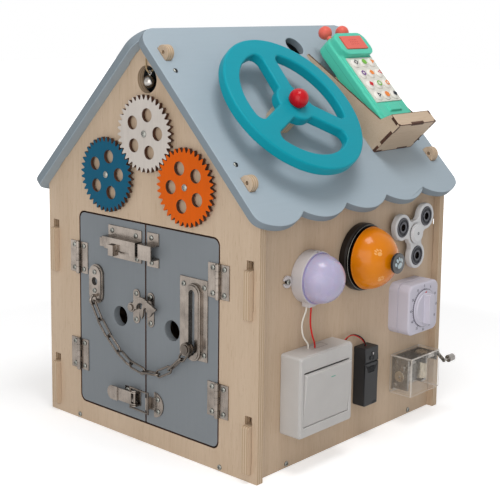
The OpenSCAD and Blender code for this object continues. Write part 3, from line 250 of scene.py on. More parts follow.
birch = {
    "light": tint(206, 184, 160),
    "mid": tint(196, 173, 148),
    "dark": tint(180, 154, 127),
    "edgeLight": tint(198, 176, 150),
    "edgeDark": tint(176, 150, 122),
    "pore": tint(150, 118, 88),
    "glueLines": 3 * mm,  # from one glue line to the next
}


def plywood(name, grain, thin, plies=True):
    wood = Finish(name, Specular_IOR_Level=0.25)
    stretch = drawnOut(grain, 0.045)  # broad bands, fine fibres and small pores, all along the grain
    bands = wood.noise(34, 3, stretch, 0.5, 0.6) * 0.55 + wood.noise(11, 2, stretch, 0.5, 0.3) * 0.45
    fibres = wood.noise(420, 4, stretch, 0.65)
    pores = wood.noise(1300, 2, stretch, 0.6) > 0.64
    share = bands * 0.75 + fibres * 0.3 - 0.02
    face = wood.ramp(share, (0.3, birch["light"]), (0.52, birch["mid"]), (0.78, birch["dark"]))
    face = wood.blend(pores * 0.3, face, birch["pore"])
    wood.rough(bands * 0.16 + 0.4)
    if not plies:
        wood.colour(face)
        wood.bump(fibres, 0.16, 0.1 * mm)
        return wood.material
    layer = wood.parts(wood.point())[axes[thin]] * (2 * math.pi / birch["glueLines"])
    stripe = wood.maths("SINE", layer) * 0.5 + 0.5 + wood.noise(600, 2) * 0.5 - 0.25
    side = wood.ramp(stripe, (0.35, birch["edgeLight"]), (0.75, birch["edgeDark"]))
    onEdge = abs(wood.normal()[axes[thin]]) < 0.5
    wood.colour(wood.blend(onEdge, face, side))
    wood.bump(fibres * 0.6 + stripe * onEdge * 0.4, 0.16, 0.15 * mm)
    return wood.material


def paintedWood(name, shade, gloss=0.42, grain="z", wear=0.12, paintedEdgeShade=1.0):
    paint = Finish(name, Specular_IOR_Level=0.1)
    clouds = paint.noise(11, 3)
    fibres = paint.noise(360, 3, drawnOut(grain, 0.06))
    peel = paint.noise(1500, 2)
    tone = clouds * 0.6 + fibres * 0.4
    base = paint.ramp(tone, (0.25, shaded(shade, 1 - wear)), (0.75, shaded(shade, 1 + wear * 0.6)))
    if paintedEdgeShade < 1:  # the sawn edges of a roof panel are darkened towards black: painted shade
        normal = paint.normal()
        side = (paint.parts(paint.point())[0] > 0) * 2 - 1  # -1 on the left slope, 1 on the right
        onEdge = abs(normal[0] * side * offRoof.x + normal[2] * offRoof.z) < 0.5
        base = paint.blend(onEdge * (1 - paintedEdgeShade), base, (0, 0, 0, 1))
    paint.colour(base)
    paint.rough(clouds * 0.14 + fibres * 0.08 + gloss - 0.1)
    paint.bump(fibres * 0.5 + peel * 0.5, 0.1, 0.12 * mm)
    return paint.material


def burntEdge(name):
    char = Finish(name)
    streaks = char.noise(700, 3, (1, 1, 1), 0.7)
    scorch = char.noise(90, 2)
    tone = streaks * 0.6 + scorch * 0.4
    char.colour(char.ramp(tone, (0.3, tint(38, 20, 12)), (0.62, tint(88, 52, 32)), (0.85, tint(132, 88, 58))))
    char.rough(streaks * 0.2 + 0.6)
    char.bump(streaks, 0.3, 0.1 * mm)
    return char.material


def metal(name, shade, rough=0.3, brush="z", spread=0.16):
    plate = Finish(name, Metallic=1.0)
    lines = plate.noise(1500, 3, drawnOut(brush, 0.04), 0.7)
    smear = plate.noise(60, 3)
    tone = lines * 0.35 + smear * 0.65
    plate.colour(plate.ramp(tone, (0.32, shaded(shade, 0.62)), (0.5, shade), (0.68, shaded(shade, 1.35))))
    plate.rough(lines * spread + smear * 0.12 + rough - 0.12)
    plate.bump(lines, 0.12, 0.05 * mm)
    return plate.material


def plastic(name, shade, rough=0.35, peel=900, coat=0.0, seam=None):
    moulded = Finish(name, Specular_IOR_Level=0.18, Coat_Weight=coat, Coat_Roughness=0.12)
    cloud = moulded.noise(28, 3)
    skin = moulded.noise(peel, 2)
    base = moulded.ramp(cloud, (0.3, shaded(shade, 0.95)), (0.7, shaded(shade, 1.02)))
    height = skin
    if seam:  # a parting line where the surface meets a plane: its normal, distance and half width
        normal, distance, half = seam
        x, y, z = moulded.parts(moulded.point())
        away = abs(x * normal[0] + y * normal[1] + z * normal[2] - distance)
        line = away < half
        base = moulded.blend(line * 0.6, base, shaded(shade, 0.45))
        height = skin * 0.3 - line
    moulded.colour(base)
    moulded.rough(cloud * 0.08 + skin * 0.08 + rough - 0.08)
    moulded.bump(height, 0.05, 0.05 * mm)
    return moulded.material


def milkPlastic(name, shade):
    milk = Finish(name, Specular_IOR_Level=0.25, Coat_Weight=0.3, Coat_Roughness=0.15,
                  Subsurface_Weight=0.25, Subsurface_Scale=0.008)
    cloud = milk.noise(40, 3)
    milk.colour(milk.ramp(cloud, (0.35, shaded(shade, 0.97)), (0.7, shade)))
    milk.rough(cloud * 0.1 + 0.22)
    milk.bump(milk.noise(1200, 2), 0.03, 0.05 * mm)
    return milk.material


def clearSheet(name, low, high, edge):
    clear = Finish(name, Specular_IOR_Level=0.6)
    smear = clear.noise(70, 4)
    nearSides = 0
    for place, near, far in zip(clear.parts(clear.point()), low, high):
        middle, half = (near + far) / 2, (far - near) / 2
        nearSides = nearSides + (abs(place - middle) > half - edge)
    rim = nearSides > 1.5  # near two sides of the box, so on one of its edges, which are made whiter and more opaque: painted highlight
    clear.colour(clear.ramp(smear, (0.3, tint(214, 206, 196)), (0.8, tint(236, 230, 222))))
    clear.rough(smear * 0.1 + 0.04)
    clear.feed(clear.shader.inputs["Alpha"], rim * 0.5 + smear * 0.08 + 0.06)
    clear.bump(smear, 0.05, 0.1 * mm)
    return clear.material


def braid(name, shade, turns):
    cord = Finish(name)
    x, y, z = cord.parts(cord.point())
    ply = cord.maths("SINE", (x + y + z) * turns) * 0.5 + 0.5
    hair = cord.noise(2600, 3)
    tone = ply * 0.7 + hair * 0.3
    cord.colour(cord.ramp(tone, (0.2, shaded(shade, 0.5)), (0.8, shade)))
    cord.rough(hair * 0.2 + 0.7)
    cord.bump(tone, 0.5, 0.2 * mm)
    return cord.material


def inEllipse(x, y, place, radii, turn):
    c, s = math.cos(turn), math.sin(turn)
    u = ((x - place[0]) * c + (y - place[1]) * s) / radii[0]
    v = ((y - place[1]) * c - (x - place[0]) * s) / radii[1]
    return (u * u + v * v) < 1


def anyOf(finish, masks):
    total = masks[0]
    for mask in masks[1:]:
        total = finish.maths("MAXIMUM", total, mask)
    return total


# one pad and four toes, in units of the print's own width
pawPads = [((0, -0.16), (0.27, 0.21)), ((-0.36, 0.08), (0.1, 0.15)), ((-0.13, 0.28), (0.1, 0.15)),
           ((0.13, 0.28), (0.1, 0.15)), ((0.36, 0.08), (0.1, 0.15))]


def pawMask(finish, y, z, centre, width, turn):
    c, s = math.cos(turn), math.sin(turn)
    marks = []
    for (px, pz), (rx, rz) in pawPads:
        place = (centre[0] + width * (px * c - pz * s), centre[1] + width * (px * s + pz * c))
        marks.append(inEllipse(y, z, place, (rx * width, rz * width), turn))
    return anyOf(finish, marks)


# on the desk bell, in mm: each print's place from the bell's centre, its width and its turn
bellPrints = {
    "centre": (9.5, 206.5),
    "dome": [((-17, 12), 9, 0.5), ((-12, -17), 8, -0.4), ((15, 19), 8, -0.2), ((18, -14), 8.5, 0.7)],
    "button": [((0, 0), 15, 0.35)],
    "buttonFrom": 50,  # only the button stands further out from the wall
}


def printMask(finish, y, z, wanted):
    cy, cz = bellPrints["centre"]
    marks = []
    for (across, along), width, turn in wanted:
        place = (cy * mm + across * mm, cz * mm + along * mm)
        marks.append(pawMask(finish, y, z, place, width * mm, turn))
    return anyOf(finish, marks)


def bellEnamel(name):
    enamel = Finish(name, Specular_IOR_Level=0.12, Coat_Weight=0.25, Coat_Roughness=0.08)
    y, z = enamel.parts(enamel.point())[1:]
    cloud = enamel.noise(30, 3)
    base = enamel.ramp(cloud, (0.3, tint(212, 118, 2)), (0.7, tint(222, 130, 4)))
    mask = printMask(enamel, y, z, bellPrints["dome"])
    enamel.colour(enamel.blend(mask * 0.55, base, tint(244, 196, 128)))
    enamel.rough(cloud * 0.1 + 0.2)
    enamel.bump(enamel.noise(900, 2), 0.03, 0.05 * mm)
    return enamel.material


def buttonPrint(name):
    button = Finish(name, Coat_Weight=0.3, Coat_Roughness=0.1)
    x, y, z = button.parts(button.point())
    onButton = x > wallX + bellPrints["buttonFrom"] * mm
    mask = printMask(button, y, z, bellPrints["button"]) * onButton
    skin = button.noise(900, 2)
    button.colour(button.blend(mask, tint(30, 31, 34), tint(168, 186, 192)))
    button.rough(skin * 0.1 + 0.26)
    button.bump(mask * 0.8 + skin * 0.2, 0.15, 0.1 * mm)
    return button.material


finishes = {
    "plySide": plywood("birch plywood side", "z", "x"),
    "plyGable": plywood("birch plywood gable", "z", "y"),
    "plyFloor": plywood("birch plywood floor", "y", "z"),
    "plyThin": plywood("thin birch plywood", "z", "y"),
    "plyHolder": plywood("holder plywood", "y", "y", plies=False),
    "roofPaint": paintedWood("roof paint", tint(164, 177, 186), 0.5, "y", 0.05, paintedEdgeShade=0.6),
    "doorPaint": paintedWood("door paint", tint(130, 135, 139), 0.46, "z", 0.06),
    "bluePaint": paintedWood("blue paint", tint(4, 86, 114), 0.4),
    "whitePaint": paintedWood("off-white paint", tint(206, 198, 190), 0.45),
    "orangePaint": paintedWood("orange paint", tint(218, 94, 4), 0.4),
    "tealPaint": paintedWood("teal paint", tint(14, 148, 164), 0.38, "y", 0.06),
    "burnt": burntEdge("burnt edge"),
    "nickel": metal("satin nickel", tint(140, 131, 123), 0.25),
    "chainSteel": metal("chain steel", tint(106, 98, 91), 0.24),
    "brightNickel": metal("bright nickel", tint(158, 154, 149), 0.2, "x", 0.06),
    "zinc": metal("zinc plate", tint(140, 140, 134), 0.4, "y"),
    "bearingSteel": metal("dark bearing steel", tint(70, 70, 74), 0.24, "x"),
    "movementSteel": metal("movement steel", tint(136, 134, 130), 0.24, "y"),
    "drumBrass": metal("pale drum brass", tint(182, 172, 154), 0.26, "z"),
    "red": plastic("red ball", tint(190, 6, 24), 0.22, 700, 0.1),
    "mint": plastic("mint plastic", tint(84, 200, 172), 0.32,
                    seam=(tuple(offRoof), ridgeZ * offRoof.z + 23 * mm, 0.25 * mm)),
    "coral": plastic("coral plastic", tint(226, 104, 90), 0.34),
    "coralDark": plastic("dark coral plastic", tint(188, 70, 52), 0.4),
    "markRed": plastic("red ink", tint(200, 36, 48), 0.5),
    "markOrange": plastic("orange ink", tint(240, 138, 62), 0.5),
    "markGreen": plastic("green ink", tint(120, 184, 70), 0.5),
    "markPurple": plastic("purple ink", tint(112, 62, 140), 0.5),
    "sealAndRecessShade": plastic("bearing seal", tint(24, 27, 34), 0.32),
    "keySilicone": plastic("white silicone", tint(232, 228, 220), 0.45),
    "keySheetShade": plastic("silicone with painted shade", tint(220, 217, 208), 0.5),
    "white": plastic("white plastic", tint(212, 212, 213), 0.36),
    "timerWhite": plastic("cool white plastic", tint(202, 198, 210), 0.34),
    "switchWhite": plastic("warm white plastic", tint(194, 191, 188), 0.4),
    "lampWhite": plastic("lamp white", tint(194, 188, 188), 0.36),
    "darkGrey": plastic("dark grey plastic", tint(54, 54, 55), 0.4, 1200),
    "bellBase": plastic("dark bell base", tint(36, 30, 27), 0.3, 1100),
    "black": plastic("black plastic", tint(14, 12, 13), 0.25),
    "redWire": plastic("red insulation", tint(196, 30, 28), 0.35),
    "whiteWire": plastic("white insulation", tint(226, 222, 212), 0.4),
    "glowGreen": plastic("green indicator", tint(98, 168, 148), 0.3),
    "seam": plastic("moulding seam", tint(112, 104, 98), 0.6),
    "ink": plastic("grey ink", tint(40, 44, 54), 0.6),
    "milk": milkPlastic("lavender milk plastic", tint(180, 172, 200)),
    "milkDark": milkPlastic("lavender rim plastic", tint(152, 142, 180)),
    "clear": clearSheet("clear acrylic", *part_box("music_cover"), 1.3 * mm),
    "jute": braid("beige cord", tint(196, 170, 128), 5200),
    "enamel": bellEnamel("orange enamel"),
    "button": buttonPrint("bell button"),
}
print("finishes made", len(finishes))


# hand tools


def deselect():
    if bpy.context.object and bpy.context.object.mode != "OBJECT":
        bpy.ops.object.mode_set(mode="OBJECT")
    bpy.ops.object.select_all(action="DESELECT")


def choose(piece):
    deselect()
    piece.select_set(True)
    bpy.context.view_layer.objects.active = piece


def edit(piece, mode="FACE"):
    choose(piece)
    bpy.ops.object.mode_set(mode="EDIT")
    bpy.ops.mesh.select_mode(type=mode)
    bpy.ops.mesh.select_all(action="SELECT")


def done():
    bpy.ops.object.mode_set(mode="OBJECT")


def begin(name, primitive, **settings):
    deselect()
    primitive(**settings)
    piece = bpy.context.object
    piece.name = name
    edit(piece)
    return piece


def pullOut(rise):
    bpy.ops.mesh.extrude_region_move(TRANSFORM_OT_translate={"value": (0, 0, rise * mm)})


def closeUp():
    bpy.ops.mesh.select_all(action="SELECT")
    bpy.ops.mesh.normals_make_consistent(inside=False)
    done()


def modify(piece, kind, **settings):
    choose(piece)
    added = piece.modifiers.new(kind.lower(), kind)
    for key, value in settings.items():
        setattr(added, key, value)
    bpy.ops.object.modifier_apply(modifier=added.name)


sharpEdge = math.radians(35)  # edges that turn more than this are softened
mergeGap = 0.004 * mm  # points closer than this become one


def markEdges(piece, left):
    mesh = piece.data
    facing = {}
    for face in mesh.polygons:
        for key in face.edge_keys:
            facing.setdefault(key, []).append(face.normal)
    weights = mesh.attributes.new("bevel_weight_edge", "FLOAT", "EDGE")
    limit = math.cos(sharpEdge)
    for edge in mesh.edges:
        normals = facing.get(edge.key, [])
        middle = (mesh.vertices[edge.vertices[0]].co + mesh.vertices[edge.vertices[1]].co) / 2
        if len(normals) == 2 and normals[0].dot(normals[1]) < limit and not left(middle):
            weights.data[edge.index].value = 1


# left says which edges stay sharp, by their middle


def soften(piece, edge, steps=2, left=lambda middle: False):
    markEdges(piece, left)
    modify(piece, "BEVEL", width=edge, segments=steps, limit_method="WEIGHT",
           use_clamp_overlap=False, loop_slide=False, miter_outer="MITER_ARC" if steps > 2 else "MITER_SHARP")
    smooth(piece)
    modify(piece, "WEIGHTED_NORMAL", weight=100, keep_sharp=True)


def settle(piece, place):
    piece.data.transform(place @ piece.matrix_world)
    piece.matrix_world = Matrix.Identity(4)


def spot(matrix, place, turn=0):  # where a piece goes on a face: place in mm, turn about the way out
    return matrix @ Matrix.Translation(Vector(place) * mm) @ Matrix.Rotation(turn, 4, "Z")


def paintWith(piece, *names):
    piece.data.materials.clear()
    for name in names:
        piece.data.materials.append(finishes[name])


def smooth(piece, angle=40):
    choose(piece)
    bpy.ops.object.shade_smooth_by_angle(angle=math.radians(angle))


def join(pieces, name):
    choose(pieces[0])
    for piece in pieces[1:]:
        piece.select_set(True)
    bpy.ops.object.join()
    pieces[0].name = name
    return pieces[0]


def goesWith(piece, node):
    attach(piece, bodyOf[node])


def standsFor(piece, node):
    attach(piece, bodyOf[node])
    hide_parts(node)


# a merged and softened copy of a CAD node's mesh takes the node's place


def softCopy(node, edge, finish, steps=2, left=lambda middle: False):
    source = nodes[node]
    piece = bpy.data.objects.new(node + "_finished", source.data.copy())
    bpy.context.scene.collection.objects.link(piece)
    edit(piece, "VERT")
    bpy.ops.mesh.customdata_custom_splitnormals_clear()
    bpy.ops.mesh.remove_doubles(threshold=mergeGap)
    done()
    if edge:
        soften(piece, edge * mm, steps, left)
    else:
        smooth(piece)
    paintWith(piece, finish)
    standsFor(piece, node)
    return piece


# cords: the same routes as the solids

cords = {
    "red": {
        "name": "lamp_lead_red_wire", "node": "lamp_lead_red", "radius": 0.9 * mm, "finish": "redWire",
        "points": [(164.5, -84.5, 170), (164.5, -84.5, 167), (165, -85.5, 163), (166, -87, 158),
                   (167, -88, 152.5), (168, -88, 147), (168.5, -87, 142), (168.5, -85, 137),
                   (168, -82.5, 133), (167, -80.5, 130), (166.5, -79.5, 128), (166.5, -79.5, 125.5)],
    },
    "white": {
        "name": "lamp_lead_white_wire", "node": "lamp_lead_white", "radius": 0.9 * mm, "finish": "whiteWire",
        "points": [(161, -88, 170), (161, -88, 167), (160.5, -89, 163), (160, -91, 158),
                   (159.5, -92.5, 152.5), (160, -93, 147), (160.5, -92.5, 142), (161.5, -91, 137),
                   (162.5, -88.5, 133), (163, -86.5, 130), (163, -86, 128), (163, -86, 125.5)],
    },
    "battery": {
        "node": "battery_lead", "radius": 0.6 * mm, "apart": 0.62 * mm, "turns": 1.5,
        "strands": [("battery_lead_red_wire", "redWire", 0), ("battery_lead_black_wire", "black", 0.5)],
        "points": [(161, -33.5, 112), (161, -30, 112), (160.5, -26, 113.5), (160, -22, 116),
                   (159, -17, 119), (158.5, -11, 121), (158.5, -5, 121.5), (159, 1, 120),
                   (160, 6, 117.5), (161, 10.5, 114), (162, 13, 110.5), (162.5, 14, 108), (162.5, 14, 106)],
    },
    "bell": {
        "name": "bell_cord_loop", "node": "bell_cord", "radius": 0.75 * mm, "finish": "jute",
        "points": [(2.5, -158.1, 404.1), (2.5, -159.6, 404.3), (2.5, -161.2, 405.3), (2.5, -162.6, 407.2),
                   (2.5, -163.4, 409.8), (2.5, -163.6, 412.3), (2.5, -163.6, 415), (2.5, -163.3, 418.2),
                   (2.5, -161.4, 419.6), (2.5, -158, 419.6), (2.5, -154.6, 419.6), (2.5, -152.7, 418.2),
                   (2.5, -152.4, 415), (2.5, -152.4, 412.3), (2.5, -152.6, 409.8), (2.5, -153.4, 407.2),
                   (2.5, -154.8, 405.3), (2.5, -156.4, 404.3), (2.5, -157.9, 404.1)],
    },
}


def routeOf(cord):
    return [Vector(place) * mm for place in cord["points"]]


def routeLength(route):
    return sum((b - a).length for a, b in zip(route, route[1:]))


def layCord(name, route, radius, finish, node):
    line = bpy.data.curves.new(name, "CURVE")
    line.dimensions = "3D"
    line.bevel_depth = radius
    line.bevel_resolution = 4
    line.resolution_u = 6
    line.use_fill_caps = True
    spline = line.splines.new("BEZIER")
    spline.bezier_points.add(len(route) - 1)
    for knot, place in zip(spline.bezier_points, route):
        knot.co = place
        knot.handle_left_type = knot.handle_right_type = "AUTO"
    cord = bpy.data.objects.new(name, line)
    bpy.context.scene.collection.objects.link(cord)
    line.materials.append(finishes[finish])
    standsFor(cord, node)
    routeLength(route)
    2 * radius
    return cord


def finer(route):  # adds a point between every two, on a smooth curve through them
    ends = [2 * route[0] - route[1], *route, 2 * route[-1] - route[-2]]
    points = []
    for i in range(1, len(ends) - 2):
        points += [ends[i], (9 * (ends[i] + ends[i + 1]) - ends[i - 1] - ends[i + 2]) / 16]
    return [*points, route[-1]]


def wound(route, apart, turns, start):  # one strand of a twisted pair
    strand = []
    for i, place in enumerate(route):
        ahead = (route[min(i + 1, len(route) - 1)] - route[max(i - 1, 0)]).normalized()
        side = ahead.cross(Vector((1, 0, 0))).normalized()
        angle = 2 * math.pi * (start + turns * i / (len(route) - 1))
        strand.append(place + apart * (side * math.cos(angle) + ahead.cross(side) * math.sin(angle)))
    return strand


for lead in ("red", "white", "bell"):
    given = cords[lead]
    layCord(given["name"], routeOf(given), given["radius"], given["finish"], given["node"])
pair = cords["battery"]
for strandName, strandFinish, start in pair["strands"]:
    strand = wound(finer(routeOf(pair)), pair["apart"], pair["turns"], start)
    layCord(strandName, strand, pair["radius"], strandFinish, pair["node"])
print("cords laid")


# house: node, softened edge in mm, finish

house = {
    "panels": [
        ("front_panel", 0.5, "plyGable"), ("back_panel", 0.5, "plyGable"), ("left_wall", 0.7, "plySide"),
        ("right_wall", 0.7, "plySide"), ("floor_panel", 0.5, "plyFloor"),
    ],
    "roof": [("roof_left", 1.0, "roofPaint"), ("roof_right", 1.0, "roofPaint")],
    "doors": [("left_door", 0.8, "doorPaint"), ("right_door", 0.8, "doorPaint")],
    "ridge": 0.3 * mm,  # edges this near the middle of the roof stay sharp
    "opening": (110 * mm, 20 * mm, 246 * mm),  # half width, bottom and top of the scorched doorway
    "border": 9 * mm,  # cut faces this near a door's outline are scorched, its finger hole's aren't
}


def paintFaces(piece, slot, test):
    for face in piece.data.polygons:
        if test(face.center, face.normal):
            face.material_index = slot


def isCut(n):  # a face that a cut has left between the front and the back of a sheet
    return abs(n.y) < 0.5


for node, edge, finish in house["panels"]:
    softCopy(node, edge, finish)
for node, edge, finish in house["roof"]:
    softCopy(node, edge, finish, 3, left=lambda middle: abs(middle.x) < house["ridge"])

gable = bpy.data.objects["front_panel_finished"]
paintWith(gable, "plyGable", "burnt")
half, bottom, top = house["opening"]
paintFaces(gable, 1, lambda c, n: isCut(n) and abs(c.x) < half and bottom < c.z < top)


def within(c, low, high, border):
    return low.x + border < c.x < high.x - border and low.z + border < c.z < high.z - border


for node, edge, finish in house["doors"]:
    door = softCopy(node, edge, finish)
    low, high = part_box(node)
    paintWith(door, finish, "burnt")
    paintFaces(door, 1, lambda c, n: isCut(n) and not within(c, low, high, house["border"]))
print("house and doors")


# door furniture: node and softened edge in mm

furniture = {
    "plates": [
        ("frame_hinges", 0.2), ("left_hinge_leaves", 0.2), ("right_hinge_leaves", 0.2), ("bolt_case", 0.3),
        ("bolt_bar", 0.4), ("bolt_keeper", 0.3), ("chain_track", 0.5), ("hook_plate_left", 0.3),
        ("hook_plate_right", 0.3), ("toggle_base", 0.2), ("toggle_lever", 0.3), ("toggle_catch", 0.3),
        ("chain_anchor", 0.4),
    ],
    "wires": ["door_chain", "toggle_bail"],
    "screws": ["screws", "left_door_screws", "right_door_screws"],
    "gableScrews": 155.5 * mm,  # screws further from the middle than this are in a gable
    "wallScrews": 270 * mm,  # of the others, those below this height are in a wall
    "lugScrews": 3 * mm,  # those of the lamp's lugs stand further off the wall and get no painted shade inside
    "hookVoxel": 0.35, "hookRounding": 14,  # size of the remesh in mm, and times smoothed
}

for node, edge in furniture["plates"]:
    softCopy(node, edge, "nickel")


def roundOff(piece, voxel, times, finish):
    modify(piece, "REMESH", mode="VOXEL", voxel_size=voxel * mm)
    modify(piece, "SMOOTH", factor=0.5, iterations=times)
    smooth(piece, 60)
    paintWith(piece, finish)


hook = softCopy("hook_arm", 0, "nickel")
roundOff(hook, furniture["hookVoxel"], furniture["hookRounding"], "nickel")
for node in furniture["wires"]:
    softCopy(node, 0, "chainSteel")


def screwAxis(c):
    if abs(c.y) > furniture["gableScrews"]:
        return Vector((0, 1, 0))
    if c.z < furniture["wallScrews"]:
        return Vector((1, 0, 0))
    return Vector((math.copysign(offRoof.x, c.x), 0, offRoof.z))


def inRecess(c, n):  # the walls of a screw's cross and head, which get painted shade
    return abs(n.dot(screwAxis(c))) < 0.3 and c.x < wallX + furniture["lugScrews"]


for node in furniture["screws"]:
    screwSet = softCopy(node, 0, "zinc")
    # the screws' dark second finish is painted shade in their recesses
    paintWith(screwSet, "zinc", "sealAndRecessShade")
    paintFaces(screwSet, 1, inRecess)
print("door furniture")


# gears and jingle bell

gears = {
    "edge": 0.25,
    "paints": [("gear_blue", "bluePaint"), ("gear_white", "whitePaint"), ("gear_orange", "orangePaint")],
}

for node, finish in gears["paints"]:
    gear = softCopy(node, gears["edge"], finish)
    paintWith(gear, finish, "burnt")
    paintFaces(gear, 1, lambda c, n: isCut(n))
softCopy("jingle_bell", 0, "brightNickel")
print("gears and bell")


# steering wheel

wheel = {"edge": 2.4, "steps": 4, "smallEdge": 0.4}

softCopy("steering_wheel", wheel["edge"], "tealPaint", wheel["steps"])
softCopy("wheel_knob", wheel["smallEdge"], "red")
softCopy("wheel_axle", wheel["smallEdge"], "plyThin")
print("steering wheel")


# phone and its laser-cut holder

phoneHolder = {
    "plate": 3.2 * mm,  # faces narrower than this are the scorched edges of a plate
    "flat": math.radians(0.6),
    "edge": 0.15 * mm,
    "lipOff": 47, "sideAlong": 62, "footDown": 190,  # where the lip's, side's and foot's outer faces lie
    # scorched joints on those faces: from and to along the face, then across it
    "joints": {
        "lip": [(86, 110, -190, -187), (131, 134, -179, -174), (131, 134, -190, -187.5),
                (62, 64.5, -190, -188), (62, 134, -190, -189.4), (62, 134, -174.5, -174)],
        "side": [(43.5, 47, -187, -177), (14, 34, -190, -186.4), (0, 9, -190, -187), (46.4, 47, -190, -174)],
        "foot": [(62, 75, 0, 3), (104, 124, 0, 3), (131, 134, 8, 22), (131, 134, 36, 45), (62, 65, 34, 45),
                 (62, 134, 0, 0.7), (62, 134, 46.3, 47), (133.3, 134, 0, 47), (62, 62.7, 0, 47),
                 (86, 110, 44, 47)],
    },
    "scorch": (0.12, 0.04),  # how thick the bars that show them are, and how far they are sunk in
}
phone = {
    "voxel": 0.8, "rounding": 9, "screenEdge": 0.25,
    "keyRows": [-138 + 16.2 * j for j in range(4)],
    "keyColumns": [82.5 + 15.5 * i for i in range(3)],
    "keyTop": 37.0,
    "sheetOff": 34.3,  # the silicone between the keys lies below this and is darkened: painted shade
    "mark": {"radius": 3.7, "depth": 0.15, "turn": 0.3},  # each mark is turned that much more
    # corners, finish, share left open in the middle; the two ends of each row differ
    "marks": [(4, "ink", 0.55), (32, "markGreen", 0), (3, "markOrange", 0),
              (6, "markPurple", 0.5), (5, "markOrange", 0), (3, "markRed", 0.5),
              (4, "markRed", 0), (32, "markGreen", 0.6), (5, "markOrange", 0.55),
              (3, "ink", 0.5), (32, "markOrange", 0), (4, "ink", 0)],
    "grille": {"columns": 5, "rows": 3, "pitch": 3.2, "dot": 0.7, "place": (98, -62.8, 40.95)},
}


def bar(name, size, place, matrix, finish, turn=0):
    piece = begin(name, bpy.ops.mesh.primitive_plane_add, size=1)
    bpy.ops.transform.resize(value=(size[0] * mm, size[1] * mm, 1))
    pullOut(size[2])
    closeUp()
    settle(piece, spot(matrix, place, turn))
    paintWith(piece, finish)
    return piece


def strips(name, edges, thick, sunk, matrix, finish):  # flat bars given by their edges, a little sunk in
    made = []
    for x0, x1, y0, y1 in edges:
        place = ((x0 + x1) / 2, (y0 + y1) / 2, -sunk)
        made.append(bar(name, (x1 - x0, y1 - y0, thick), place, matrix, finish))
    return made


def narrow(face, mesh):
    rim = sum((mesh.vertices[a].co - mesh.vertices[b].co).length for a, b in face.edge_keys)
    return 2 * face.area / rim < phoneHolder["plate"]


holder = softCopy("holder_panels", 0, "plyHolder")
edit(holder)
bpy.ops.mesh.dissolve_limited(angle_limit=phoneHolder["flat"])
done()
paintWith(holder, "plyHolder", "burnt")
for face in holder.data.polygons:
    face.material_index = int(narrow(face, holder.data))
soften(holder, phoneHolder["edge"])

ridge = Vector((0, 0, ridgeZ))
holderFaces = {
    "lip": spot(onRoof, (0, 0, phoneHolder["lipOff"])),
    "side": frameAt(offRoof, upSlope, (0, -1, 0), ridge + Vector((0, phoneHolder["sideAlong"] * mm, 0))),
    "foot": frameAt((0, 1, 0), offRoof, -upSlope, ridge - upSlope * phoneHolder["footDown"] * mm),
}
thick, sunk = phoneHolder["scorch"]
burnt = []
for name, edges in phoneHolder["joints"].items():
    burnt += strips("joint", edges, thick, sunk, holderFaces[name], "burnt")
goesWith(join(burnt, "holder_joints"), "holder_panels")

shell = softCopy("phone_shell", 0, "mint")
roundOff(shell, phone["voxel"], phone["rounding"], "mint")
softCopy("phone_screen_and_knobs", phone["screenEdge"], "coral")
keypad = softCopy("phone_keypad", 0, "keySilicone")
paintWith(keypad, "keySilicone", "keySheetShade")
paintFaces(keypad, 1, lambda c, n: c.dot(offRoof) < ridgeZ * offRoof.z + phone["sheetOff"] * mm)


def flatMark(name, corners, radius, place, matrix, finish, opened=0, depth=0.12, turn=0):
    mark = begin(name, bpy.ops.mesh.primitive_circle_add, vertices=corners, radius=radius * mm,
                 fill_type="NGON", rotation=(0, 0, turn))
    if opened:
        bpy.ops.mesh.inset(thickness=radius * mm * (1 - opened) * math.cos(math.pi / corners))
        bpy.ops.mesh.delete(type="FACE")
        bpy.ops.mesh.select_all(action="SELECT")
    pullOut(depth)
    closeUp()
    settle(mark, spot(matrix, place))
    smooth(mark, 30)
    paintWith(mark, finish)
    return mark


given = phone["mark"]
marksByFinish = {}
for k, (corners, finish, opened) in enumerate(phone["marks"]):
    row, column = divmod(k, len(phone["keyColumns"]))
    place = (phone["keyColumns"][column], phone["keyRows"][-1 - row], phone["keyTop"])
    mark = flatMark("key_mark", corners, given["radius"], place, onRoof, finish, opened,
                    given["depth"], given["turn"] * k)
    marksByFinish.setdefault(finish, []).append(mark)
for finish, marks in marksByFinish.items():
    goesWith(join(marks, "key_marks_" + finish.lower()), "phone_keypad")

grille = phone["grille"]
y, up, off = grille["place"]
dots = []
for i in range(grille["columns"]):
    for j in range(grille["rows"]):
        across = (i - (grille["columns"] - 1) / 2) * grille["pitch"]
        further = (j - (grille["rows"] - 1) / 2) * grille["pitch"]
        place = (y + across, up + further, off)
        dots.append(flatMark("grille_dot", 12, grille["dot"], place, onRoof, "coralDark"))
goesWith(join(dots, "phone_grille"), "phone_screen_and_knobs")
print("phone")


# lamp

# a ring is given by its radius, thickness, distance off the wall and flatness
lamp = {"centre": (-78.5, 199.4), "edge": 0.9, "rim": (26.2, 0.8, 14.9, 0.7)}


def ring(name, centre, size, finish):
    radius, thick, off, flat = size
    bead = begin(name, bpy.ops.mesh.primitive_torus_add, major_radius=radius * mm,
                 minor_radius=thick * mm, major_segments=96, minor_segments=12)
    bpy.ops.transform.resize(value=(1, 1, flat))
    done()
    settle(bead, spot(onWall, (*centre, off)))
    smooth(bead, 60)
    paintWith(bead, finish)
    return bead


softCopy("lamp_housing", lamp["edge"], "lampWhite", 3)
softCopy("lamp_dome", 0, "milk")
goesWith(ring("lamp_rim", lamp["centre"], lamp["rim"], "milkDark"), "lamp_dome")
print("lamp")


# wall switch and battery box

